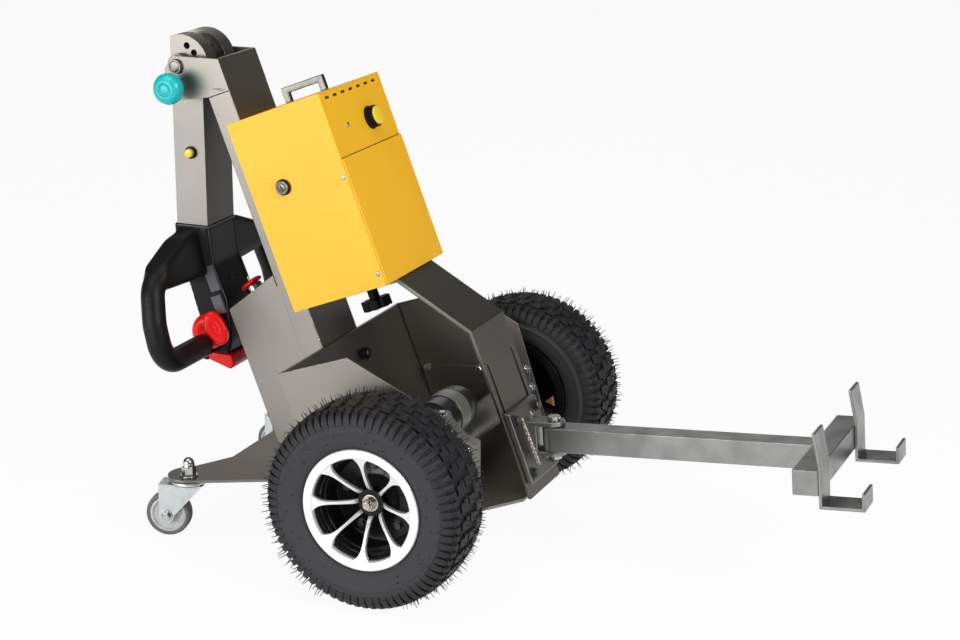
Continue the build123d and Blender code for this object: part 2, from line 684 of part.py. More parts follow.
button_at = (PIVOT_X + BUTTON_OUT, TILLER_FOOT + BUTTON_RISE)
nodes["tiller_button"] = rod(BUTTON_R, button_face - BUTTON_LONG, button_face, *button_at)


# Tiller head: body, winged grip loops, thumb throttles, belly button
def hung(out, drop):
    """The X, Z of a point behind or below the foot of the tiller tube."""
    return PIVOT_X + out, TILLER_FOOT - GAP - drop


body = slab([hung(out, drop) for out, drop in BODY_LINE], BODY_HALF)
root = GRIP_R - BODY_HALF
shoulder = (-GRIP_Y + GRIP_R, GRIP_SHOULDER)
grip_line = FilletPolyline(
    (root, 0),
    shoulder,
    (-GRIP_Y, GRIP_ELBOW),
    (-GRIP_Y, GRIP_LOW),
    (root, GRIP_LOW),
    radius=2 * GRIP_R,
)
loop = Plane.YZ * grip_line
grip = sweep(Plane(origin=loop @ 0, z_dir=loop % 0) * Circle(GRIP_R), path=loop)
wing_line = [
    (root, WING_TOP),
    (-2 * BODY_HALF, WING_TOP - GRIP_R / 2),
    (-GRIP_Y + 2 * GRIP_R, GRIP_R + GRIP_SHOULDER / 2),
    (-GRIP_Y + GRIP_R, GRIP_SHOULDER),
    (-GRIP_Y + 2 * GRIP_R, GRIP_SHOULDER - GRIP_R),
    (-2 * BODY_HALF, WING_LOW),
    (root, WING_LOW),
]
wing = extrude(Plane.YZ * outline(wing_line), WING_HALF, both=True)
grip += fillet(wing.edges(), WING_ROUND)
grip_at = hung(GRIP_OUT, GRIP_DROP)
grip = Pos(grip_at[0], 0, grip_at[1]) * Rot(0, -GRIP_LEAN, 0) * grip
throttle_at, shaft_at = hung(THROTTLE_OUT, THROTTLE_DROP), hung(SHAFT_OUT, SHAFT_DROP)
throttle_end = BODY_HALF + GAP + THROTTLE_THICK
clear_ends = (-throttle_end - GAP, -BODY_HALF)
grip -= rod(THROTTLE_R + PLATE, *clear_ends, *throttle_at)
half_head = grip + rod(SHAFT_R, *clear_ends, *shaft_at)
nodes["tiller_head"] = body + half_head + flip(half_head)
throttle = rod(THROTTLE_R, -throttle_end, -BODY_HALF - GAP, *throttle_at)
throttle -= rod(SHAFT_R + GAP, *clear_ends, *shaft_at)
nodes["throttle_right"] = throttle
nodes["throttle_left"] = flip(throttle)
body_drop = max(drop for out, drop in BODY_LINE)
belly = [hung(out, body_drop + GAP + drop) for out, drop in BELLY_LINE]
nodes["belly_button"] = slab(belly, BODY_HALF - PLATE)


# Tow hitch on the strap, with its pin tilted like the arm
def on_strap(out, height):
    """The X, Z at a distance off the strap's lower face, at a height."""
    return STRAP_BEND_X + (STRAP_BEND_Z - height) * SIN / COS + out / COS, height


hitch_face = GAP + HITCH_THICK
hitch_ends = (FLOOR_TOP + HITCH_LOW, FLOOR_TOP + HITCH_HIGH)
hitch_line = [on_strap(GAP, z) for z in hitch_ends] + [on_strap(hitch_face, z) for z in hitch_ends[::-1]]
hitch_plate = slab(hitch_line, HITCH_HALF)
lug_low = ARM_HALF + LUG_CLEAR
lug_top = lug_low + LUG_THICK
web_face = -ARM_HALF - PLATE
lug_back = -3 * LUG_HALF
lug = post(LUG_HALF, lug_low, lug_top) + block(lug_back, 0, -LUG_HALF, LUG_HALF, lug_low, lug_top)
web = block(lug_back, web_face, -LUG_HALF, LUG_HALF, -lug_top, lug_top)
clevis = HITCH * (lug + mirror(lug, about=Plane.XY) + web)
clevis -= HITCH * post(PIN_R, -2 * ARM_HALF, 2 * ARM_HALF)
front_limit = PIN_X + 2 * ARM_HALF
keep = slab(
    [
        on_strap(hitch_face - HITCH_THICK / 2, FLOOR_TOP),
        on_strap(hitch_face - HITCH_THICK / 2, STRAP_BEND_Z),
        (front_limit, STRAP_BEND_Z),
        (front_limit, FLOOR_TOP),
    ],
    HITCH_HALF,
)
nodes["hitch_plate"] = hitch_plate + (clevis & keep)
pin_top = lug_top + GAP
pin = post(PIN_R - PIN_CLEAR, -pin_top - PIN_R, pin_top)
pin += post(1.5 * PIN_R, pin_top, pin_top + PIN_R) + post(1.3 * PIN_R, -pin_top - PIN_R, -pin_top)
nodes["hitch_pin"] = HITCH * pin

# Tow arm with its cross beam and two hooks
arm = block(0, ARM_LONG - GAP, -ARM_HALF, ARM_HALF, -ARM_HALF, ARM_HALF)
arm += post(ARM_HALF, -ARM_HALF, ARM_HALF)
arm_bore = ARM_HALF - ARM_WALL
arm -= block(2 * ARM_HALF, ARM_LONG, -arm_bore, arm_bore, -arm_bore, arm_bore)
arm -= post(PIN_R, -2 * ARM_HALF, 2 * ARM_HALF)
nodes["arm_tube"] = HITCH * arm
beam_front = ARM_LONG + 2 * ARM_HALF
beam_bore = BEAM_HALF - ARM_WALL
beam = block(ARM_LONG, beam_front, -BEAM_HALF, BEAM_HALF, -ARM_HALF, ARM_HALF)
beam -= block(ARM_LONG + ARM_WALL, beam_front - ARM_WALL, -beam_bore, beam_bore, -arm_bore, arm_bore)
nodes["cross_beam"] = HITCH * beam
strip = beam_front + GAP
back_off = (HOOK_TOP - HOOK_BEND) * math.tan(math.radians(HOOK_LEAN))
hook_line = [
    (strip - back_off, HOOK_TOP),
    (strip, HOOK_BEND),
    (strip, HOOK_LOW),
    (strip + HOOK_REACH, HOOK_LOW),
    (strip + HOOK_REACH, HOOK_LIP),
    (strip + HOOK_REACH - HOOK_SHEET, HOOK_LIP),
    (strip + HOOK_REACH - HOOK_SHEET, HOOK_LOW + HOOK_SHEET),
    (strip + HOOK_SHEET, HOOK_LOW + HOOK_SHEET),
    (strip + HOOK_SHEET, HOOK_BEND),
    (strip + HOOK_SHEET - back_off, HOOK_TOP),
]
hook = HITCH * slab(hook_line, HOOK_WIDE / 2, HOOK_WIDE / 2 - BEAM_HALF)
nodes["hook_right"] = hook
nodes["hook_left"] = flip(hook)

# The origin stands on the ground under the middle of the whole machine
spans = [shape.bounding_box() for shape in nodes.values()]
MIDDLE_X = (min(span.min.X for span in spans) + max(span.max.X for span in spans)) / 2
for name, shape in nodes.items():
    export_step(Pos(-MIDDLE_X, 0, 0) * shape, f"parts/{name}.step")
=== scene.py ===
import json
import logging
import math
import random
from dataclasses import dataclass
from enum import Enum
from typing import Sequence, Union

import bmesh
import bpy
from mathutils import Matrix, Vector

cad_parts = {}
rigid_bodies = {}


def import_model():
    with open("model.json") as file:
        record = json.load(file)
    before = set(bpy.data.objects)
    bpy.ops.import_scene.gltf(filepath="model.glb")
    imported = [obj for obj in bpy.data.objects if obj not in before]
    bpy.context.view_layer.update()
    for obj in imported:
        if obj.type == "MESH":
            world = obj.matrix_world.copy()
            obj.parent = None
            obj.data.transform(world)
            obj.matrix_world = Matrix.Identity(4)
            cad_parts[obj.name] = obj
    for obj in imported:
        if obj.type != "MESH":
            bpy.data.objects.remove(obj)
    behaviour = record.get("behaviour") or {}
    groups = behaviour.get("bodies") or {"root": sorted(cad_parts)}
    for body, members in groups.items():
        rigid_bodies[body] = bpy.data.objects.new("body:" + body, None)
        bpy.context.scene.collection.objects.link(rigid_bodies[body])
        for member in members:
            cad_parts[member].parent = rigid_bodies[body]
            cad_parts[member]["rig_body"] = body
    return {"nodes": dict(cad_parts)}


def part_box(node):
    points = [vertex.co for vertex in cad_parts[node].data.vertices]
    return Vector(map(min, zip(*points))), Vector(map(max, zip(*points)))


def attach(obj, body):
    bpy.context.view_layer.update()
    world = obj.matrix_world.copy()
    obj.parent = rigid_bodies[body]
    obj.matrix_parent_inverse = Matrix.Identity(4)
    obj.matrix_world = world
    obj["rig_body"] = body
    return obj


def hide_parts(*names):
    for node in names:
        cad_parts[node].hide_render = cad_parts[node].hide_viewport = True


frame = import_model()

LOG = logging.getLogger("tow_tractor")
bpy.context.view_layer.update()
MM = 0.001
Colour = tuple[float, float, float]
Point = tuple[float, float, float]
Line = Sequence[tuple[float, float]]

# The wheel axis stands over X = 0 in the sizes below, which are in millimetres
WHEEL_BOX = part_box("tyre_left")
SHIFT_X = -(WHEEL_BOX[0].x + WHEEL_BOX[1].x) / 2
TO_ROW = Matrix.Translation((-SHIFT_X, 0, 0)) @ Matrix.Scale(MM, 4)
LEAN = math.radians(21.0)
MAST_MARK = Vector((-299.3, 0, 550.0))
PITCH = math.radians(4.2)
PIN = Vector((178.0, 0, 192.0))
PIVOT = Vector((-467.4, 0, 766.0))
AXLE_HIGH = 165.0
# Gap that the solids keep from each other
GAP = 0.3


def lean(out: float, y: float, along: float) -> Point:
    """Gives a point of the mast or the battery box.

    Args:
        out: Distance out from the mast's front.
        y: Distance to the left.
        along: Distance up along the mast.

    Returns:
        The point in the machine's own frame, in millimetres.
    """
    x = MAST_MARK.x + out * math.cos(LEAN) - along * math.sin(LEAN)
    z = MAST_MARK.z + out * math.sin(LEAN) + along * math.cos(LEAN)
    return x, y, z


def hitched(x: float, y: float, z: float) -> Point:
    """Gives a point of the tow arm.

    Args:
        x: Distance along the arm from its pin.
        y: Distance to the left.
        z: Height over the arm's middle line.

    Returns:
        The point in the machine's own frame, in millimetres.
    """
    turned_x = PIN.x + x * math.cos(PITCH) - z * math.sin(PITCH)
    return turned_x, y, PIN.z + x * math.sin(PITCH) + z * math.cos(PITCH)


def about(axis: str, degrees: float) -> Matrix:
    """A turn about one axis, in degrees."""
    return Matrix.Rotation(math.radians(degrees), 4, axis)


def moved(x: float, y: float, z: float) -> Matrix:
    """A shift."""
    return Matrix.Translation((x, y, z))


def facing(point: Sequence[float], axis: Sequence[float], spin: float = 0.0) -> Matrix:
    """Makes the placing of a piece that is built along its own Z.

    Args:
        point: Where the piece's origin goes, in millimetres.
        axis: Where its Z points.
        spin: Turn about that axis in degrees.

    Returns:
        The placing as a matrix.
    """
    turn = Vector(axis).to_track_quat("Z", "Y").to_matrix().to_4x4()
    return Matrix.Translation(point) @ turn @ about("Z", spin)


def mirrored(half: Line) -> list[tuple[float, float]]:
    """The upper half of a section and its mirror below, as height and radius."""
    return list(half) + [(-height, radius) for height, radius in half[::-1]]


LEAN_OUT = (math.cos(LEAN), 0.0, math.sin(LEAN))
LEANING = Matrix.Rotation(-LEAN, 4, "Y")
NEAR, FAR, UP, FRONT = (0, -1, 0), (0, 1, 0), (0, 0, 1), (1, 0, 0)


class Body(Enum):
    """The moving bodies that pieces ride on."""

    CHASSIS = "chassis"
    TILLER = "tiller"
    TOW_ARM = "tow_arm"
    WHEEL_RIGHT = "wheel_right"
    WHEEL_LEFT = "wheel_left"
    CASTER_RIGHT = "caster_wheel_right"
    CASTER_LEFT = "caster_wheel_left"
    FORK_RIGHT = "caster_swivel_right"
    FORK_LEFT = "caster_swivel_left"


class Side(Enum):
    """The two sides of the machine, by the sign of Y."""

    RIGHT = -1
    LEFT = 1

    @property
    def word(self) -> str:
        """The side's name in a node's name."""
        return self.name.lower()

    @property
    def wheel(self) -> Body:
        """The drive wheel on this side."""
        return Body["WHEEL_" + self.name]

    @property
    def caster(self) -> Body:
        """The caster wheel on this side."""
        return Body["CASTER_" + self.name]

    @property
    def fork(self) -> Body:
        """The caster fork on this side."""
        return Body["FORK_" + self.name]

    @property
    def axis(self) -> Point:
        """The way out of the machine on this side."""
        return 0.0, float(self.value), 0.0

    def at(self, x: float, y: float, z: float) -> Point:
        """A point on this side, with Y counted outwards."""
        return x, self.value * y, z


class Sock:
    """An output socket that takes Python maths."""

    def __init__(self, shader: "Shader", socket: bpy.types.NodeSocket) -> None:
        """Keeps the socket and the shader it belongs to."""
        self.shader = shader
        self.socket = socket

    def maths(self, operation: str, first: "Value", second: "Value" = 0.0) -> "Sock":
        """Adds one Math node.

        Args:
            operation: Blender's name of the operation.
            first: The first value.
            second: The second value.

        Returns:
            The node's result.
        """
        return self.shader.node("ShaderNodeMath", {"operation": operation}, {0: first, 1: second})

    def __add__(self, other: "Value") -> "Sock":
        """This plus the other."""
        return self.maths("ADD", self, other)

    __radd__ = __add__

    def __sub__(self, other: "Value") -> "Sock":
        """This less the other."""
        return self.maths("SUBTRACT", self, other)

    def __rsub__(self, other: "Value") -> "Sock":
        """The other less this."""
        return self.maths("SUBTRACT", other, self)

    def __mul__(self, other: "Value") -> "Sock":
        """This times the other."""
        return self.maths("MULTIPLY", self, other)

    __rmul__ = __mul__


Value = Union[Sock, float, tuple]


class Shader:
    """The node tree of one material."""

    def __init__(self, name: str) -> None:
        """Makes an empty material with its Principled shader.

        Args:
            name: The material's name.
        """
        self.material = bpy.data.materials.new(name)
        self.material.use_nodes = True
        self.tree = self.material.node_tree
        self.surface = self.tree.nodes["Principled BSDF"]

    def node(self, kind: str, settings: dict, inputs: dict, out: Union[int, str] = 0) -> Sock:
        """Adds a node.

        Args:
            kind: Blender's type of node.
            settings: The node's own settings, set first; stops are a ramp's.
            inputs: Values or links of its sockets.
            out: The output that is wanted.

        Returns:
            That output.
        """
        made = self.tree.nodes.new(kind)
        for key, value in settings.items():
            if key == "stops":
                self.ramp(made.color_ramp, value)
            else:
                setattr(made, key, value)
        for key, value in inputs.items():
            self.feed(made.inputs[key], value)
        return Sock(self, made.outputs[out])

    def ramp(self, ramp: bpy.types.ColorRamp, stops: Line) -> None:
        """Sets a grey ramp.

        Args:
            ramp: The ramp of the node.
            stops: Place and level of each stop.
        """
        while len(ramp.elements) < len(stops):
            ramp.elements.new(0.5)
        for element, (place, level) in zip(ramp.elements, stops):
            element.position = place
            element.color = (level, level, level, 1.0)

    def feed(self, socket: bpy.types.NodeSocket, value: Value) -> None:
        """Sets or links one input socket.

        Args:
            socket: The input.
            value: A number, a colour or another node's output.
        """
        if isinstance(value, Sock):
            self.tree.links.new(value.socket, socket)
        elif isinstance(value, tuple) and socket.type == "RGBA":
            socket.default_value = (*value, 1.0)
        else:
            socket.default_value = value

    def place(self, scale: Point = (1.0, 1.0, 1.0), origin: Point = (0.0, 0.0, 0.0)) -> Sock:
        """The Object coordinates, centred and stretched.

        Args:
            scale: Stretch of the pattern.
            origin: The pattern's middle, in metres.

        Returns:
            The coordinates.
        """
        spot = self.node("ShaderNodeTexCoord", {}, {}, "Object")
        shift = tuple(-part * size for part, size in zip(origin, scale))
        return self.node("ShaderNodeMapping", {}, {"Vector": spot, "Location": shift, "Scale": scale})

    def noise(self, scale: float, detail: float = 2.0, stretch: Point = (1.0, 1.0, 1.0)) -> Sock:
        """Soft noise over the surface.

        Args:
            scale: Spots to the metre.
            detail: Finer layers.
            stretch: Stretch of the pattern.

        Returns:
            A value round a half.
        """
        inputs = {"Vector": self.place(stretch), "Scale": scale, "Detail": detail}
        return self.node("ShaderNodeTexNoise", {}, inputs)

    def mix(self, share: Value, first: Value, second: Value) -> Sock:
        """Mixes two colours.

        Args:
            share: How much of the second.
            first: The first colour.
            second: The second colour.

        Returns:
            The mixed colour.
        """
        inputs = {0: share, 6: first, 7: second}
        return self.node("ShaderNodeMix", {"data_type": "RGBA"}, inputs, 2)

    def curve(self, value: Value, stops: Line) -> Sock:
        """A value through a ramp."""
        return self.node("ShaderNodeValToRGB", {"stops": stops}, {"Fac": value})

    def bump(self, height: Value, depth: float) -> None:
        """Feeds a height to the surface's normal.

        Args:
            height: The height.
            depth: What a height of one stands for, in metres.
        """
        inputs = {"Height": height, "Distance": depth, "Strength": 1.0}
        self.feed(self.surface.inputs["Normal"], self.node("ShaderNodeBump", {}, inputs))

    def set(self, **values: Value) -> None:
        """Feeds the surface's own sockets, with spaces for underscores."""
        for key, value in values.items():
            self.feed(self.surface.inputs[key.replace("_", " ")], value)


# Paint flakes to the metre, and the stretch of mill streaks along X
FLAKES = 2600.0
STREAKED = (0.06, 1.0, 1.0)


@dataclass(frozen=True)
class Finish:
    """One finish of the machine, with a colour that varies softly and a fine grain.

    Attributes:
        slot: The record's material slot; not used.
        name: The material's name.
        colour: Main colour, linear.
        worn: Colour of its patches.
        rough: Roughness in the middle of its range.
        metal: How metallic it is.
        coat: Clear coat.
        grain: Spots to the metre of the fine bump.
        depth: Height of the fine bump in metres.
        cloud: Spots to the metre of the patches.
        spread: How far the roughness varies.
        shine: Specular level.
        coat_rough: Roughness of the clear coat.
    """

    slot: str
    name: str
    colour: Colour
    worn: Colour
    rough: float
    metal: float = 0.0
    coat: float = 0.0
    grain: float = 900.0
    depth: float = 0.00004
    cloud: float = 14.0
    spread: float = 0.12
    shine: float = 0.5
    coat_rough: float = 0.12

    def material(self) -> bpy.types.Material:
        """Makes the material, or finds it made.

        Returns:
            The material.
        """
        known = bpy.data.materials.get(self.name)
        if known:
            return known
        shader = Shader(self.name)
        share, rough, relief = self.layers(shader)
        shader.set(
            Base_Color=shader.mix(share, self.colour, self.worn),
            Roughness=rough,
            Metallic=self.metal,
            Coat_Weight=self.coat,
            Coat_Roughness=self.coat_rough,
            Specular_IOR_Level=self.shine,
        )
        shader.bump(relief, self.depth)
        return shader.material

    def layers(self, shader: Shader) -> tuple[Sock, Sock, Sock]:
        """Lays out soft patches and a fine grain.

        Args:
            shader: The new material's nodes.

        Returns:
            Share of the worn colour, roughness and relief.
        """
        patches = shader.noise(self.cloud, 4.0)
        share = shader.curve(patches, ((0.32, 0.0), (0.72, 1.0)))
        rough = self.rough - self.spread / 2 + self.spread * patches
        return share, rough, shader.noise(self.grain, 1.0)


@dataclass(frozen=True)
class FlakePaint(Finish):
    """Satin paint with metal flakes and a soft orange peel."""

    rough: float = 0.42
    metal: float = 1.0
    grain: float = 420.0
    depth: float = 0.00003
    cloud: float = 6.0
    coat_rough: float = 0.2

    def layers(self, shader: Shader) -> tuple[Sock, Sock, Sock]:
        """Lays out patches, flakes and peel.

        Args:
            shader: The new material's nodes.

        Returns:
            Share of the worn colour, roughness and relief.
        """
        patches = shader.noise(self.cloud, 3.0)
        flakes = shader.noise(FLAKES, 1.0)
        share = shader.curve(patches, ((0.3, 0.0), (0.75, 1.0))) * 0.7 + 0.3 * flakes
        rough = self.rough - self.spread / 2 + self.spread * flakes
        return share, rough, shader.noise(self.grain, 2.0)


@dataclass(frozen=True)
class MilledSteel(Finish):
    """Bare steel with mill streaks along X and dull patches."""

    metal: float = 1.0
    depth: float = 0.00003
    cloud: float = 70.0
    spread: float = 0.2

    def layers(self, shader: Shader) -> tuple[Sock, Sock, Sock]:
        """Lays out streaks and patches.

        Args:
            shader: The new material's nodes.

        Returns:
            Share of the worn colour, roughness and relief.
        """
        patches = shader.noise(self.cloud, 5.0)
        streaks = shader.noise(self.grain, 2.0, STREAKED)
        share = shader.curve(patches, ((0.35, 0.0), (0.7, 1.0)))
        rough = self.rough + self.spread * (streaks - 0.5) + self.spread * (patches - 0.5)
        return share, rough, streaks


@dataclass(frozen=True)
class TurnedAlloy(Finish):
    """Machined alloy with fine rings about a wheel's axis."""

    def layers(self, shader: Shader) -> tuple[Sock, Sock, Sock]:
        """Lays out the turning rings.

        Args:
            shader: The new material's nodes.

        Returns:
            Share of the worn colour, roughness and relief.
        """
        middle = (-SHIFT_X, 0.0, WHEEL_BOX[1].z / 2)
        spot = shader.place((1.0, 0.0, 1.0), middle)
        radius = shader.node("ShaderNodeVectorMath", {"operation": "LENGTH"}, {0: spot}, "Value")
        inputs = {"W": radius, "Scale": self.grain, "Detail": 2.0}
        rings = shader.node("ShaderNodeTexNoise", {"noise_dimensions": "1D"}, inputs)
        rough = self.rough + self.spread * (rings - 0.5)
        return shader.noise(self.cloud, 3.0), rough, rings


FRAME_PAINT = FlakePaint("frame_paint", "satin_grey_paint", (0.22, 0.206, 0.186), (0.29, 0.272, 0.246))
# Darker copy of the frame paint: painted shade for the front strap and the hitch plate's front, which face
# away from the key lamp
STRAP_PAINTED_SHADE = FlakePaint("frame_paint", "shaded_grey_paint", (0.165, 0.157, 0.136), (0.215, 0.205, 0.179))
# Near black copy of the frame paint: painted shade for the tiller tube's front, which faces away from the key
# lamp
TUBE_FRONT_PAINTED_SHADE = FlakePaint("frame_paint", "dark_face_paint", (0.052, 0.05, 0.045), (0.075, 0.071, 0.064))
YELLOW = FlakePaint(
    "yellow_paint", "yellow_box_paint", (0.92, 0.475, 0.010), (0.95, 0.515, 0.016),
    rough=0.5, metal=0.0, coat=0.06, grain=520.0, depth=0.00004, cloud=7.0,
)
ARM_STEEL = MilledSteel(
    "arm_steel", "bare_arm_steel", (0.34, 0.34, 0.333), (0.25, 0.25, 0.246),
    rough=0.38, metal=0.95, grain=700.0, depth=0.00004, cloud=26.0,
)
BRIGHT = MilledSteel(
    "bright_steel", "plated_steel", (0.62, 0.62, 0.61), (0.42, 0.42, 0.41),
    rough=0.24, depth=0.00002, cloud=60.0, spread=0.16,
)
NUT_STEEL = MilledSteel(
    "bright_steel", "plated_nut_steel", (0.60, 0.56, 0.45), (0.40, 0.37, 0.29), rough=0.24
)
SATIN_STEEL = MilledSteel(
    "bright_steel", "satin_bar_steel", (0.2, 0.193, 0.18), (0.135, 0.128, 0.118), rough=0.36
)
WELD = MilledSteel(
    "bright_steel", "weld_bead", (0.52, 0.49, 0.44), (0.25, 0.22, 0.2),
    rough=0.38, metal=0.9, grain=1500.0, depth=0.0001, cloud=220.0,
)
BAND = MilledSteel(
    "frame_paint", "gear_case_grey", (0.33, 0.325, 0.285), (0.24, 0.235, 0.205),
    rough=0.44, metal=0.7, cloud=40.0, spread=0.16,
)
ZINC = MilledSteel(
    "caster_zinc", "zinc_sheet", (0.66, 0.70, 0.70), (0.52, 0.55, 0.55),
    rough=0.32, metal=0.85, cloud=50.0, spread=0.18,
)
BLACK = Finish(
    "black_plastic", "grained_black_plastic", (0.004, 0.004, 0.0046), (0.007, 0.007, 0.008),
    rough=0.46, grain=1700.0, depth=0.00005, cloud=18.0, spread=0.14, shine=0.2,
)
BLACK_STEEL = Finish(
    "motor_black", "satin_black_steel", (0.012, 0.012, 0.014), (0.024, 0.024, 0.027),
    rough=0.34, coat=0.25, grain=1100.0, depth=0.00003,
)
GLOSS_BLACK = Finish(
    "rim_alloy", "black_rim_enamel", (0.005, 0.005, 0.006), (0.009, 0.009, 0.011),
    rough=0.24, coat=0.08, grain=700.0, depth=0.00002, shine=0.25,
)
ALLOY = TurnedAlloy(
    "rim_alloy", "machined_rim_face", (0.83, 0.83, 0.83), (0.92, 0.92, 0.92),
    rough=0.34, metal=0.55, grain=2400.0, depth=0.00002, cloud=30.0, spread=0.1,
)
RUBBER = Finish(
    "tyre_rubber", "tyre_rubber", (0.026, 0.026, 0.030), (0.042, 0.042, 0.047),
    rough=0.72, grain=1300.0, depth=0.0001, cloud=30.0, spread=0.16,
)
# Darker copy of the tyre rubber: painted shade for the tread's relief and its upward faces
TREAD_PAINTED_SHADE = Finish(
    "tyre_rubber", "tread_rubber", (0.013, 0.013, 0.015), (0.024, 0.024, 0.027),
    rough=0.62, grain=1300.0, depth=0.0001, cloud=40.0, spread=0.16, shine=0.35,
)
HAIR = Finish(
    "tyre_rubber", "moulding_hair", (0.012, 0.012, 0.014), (0.02, 0.02, 0.022),
    rough=0.7, grain=600.0, depth=0.00002, cloud=80.0,
)
RED = Finish(
    "red_plastic", "glossy_red", (0.86, 0.004, 0.004), (0.92, 0.007, 0.005),
    rough=0.3, coat=0.12, grain=800.0, depth=0.00002, cloud=30.0, spread=0.08, shine=0.3,
)
TEAL = Finish(
    "teal_plastic", "turquoise_knob", (0.0, 0.42, 0.44), (0.0, 0.5, 0.52),
    rough=0.34, coat=0.15, grain=1500.0, depth=0.00003, cloud=40.0, spread=0.1,
)
YELLOW_CAP = Finish(
    "yellow_plastic", "yellow_cap", (0.92, 0.62, 0.03), (0.95, 0.7, 0.04),
    rough=0.34, coat=0.2, grain=1500.0, depth=0.00002, cloud=60.0, spread=0.1,
)
CASTER_RUBBER = Finish(
    "caster_rubber", "caster_rubber", (0.05, 0.052, 0.058), (0.08, 0.082, 0.09),
    rough=0.6, grain=1500.0, cloud=60.0,
)
CORE = Finish(
    "caster_core", "pale_core", (0.5, 0.51, 0.52), (0.58, 0.59, 0.6),
    rough=0.42, grain=1600.0, depth=0.00003, cloud=60.0,
)
RUST = Finish(
    "frame_paint", "rusty_tab", (0.30, 0.12, 0.045), (0.20, 0.075, 0.03),
    rough=0.6, grain=1200.0, depth=0.0001, cloud=120.0,
)
SWITCH = Finish(
    "black_plastic", "grey_switch", (0.10, 0.10, 0.12), (0.13, 0.13, 0.15),
    rough=0.38, grain=1600.0, depth=0.00003, cloud=60.0,
)
TRIM = Finish(
    "black_plastic", "grey_trim", (0.05, 0.05, 0.054), (0.07, 0.07, 0.074),
    rough=0.45, grain=1600.0, depth=0.00003, cloud=60.0,
)

HEXAGON = 6
ROUNDING_STEPS = 2
# Angles between two faces, in degrees, past which a copy's edge is rounded or stays sharp
COPY_ROUNDED, COPY_SHARP = 32.0, 60.0
# and a piece's edge is bevelled or stays sharp
PIECE_ROUNDED, PIECE_SHARP = 40.0, 35.0


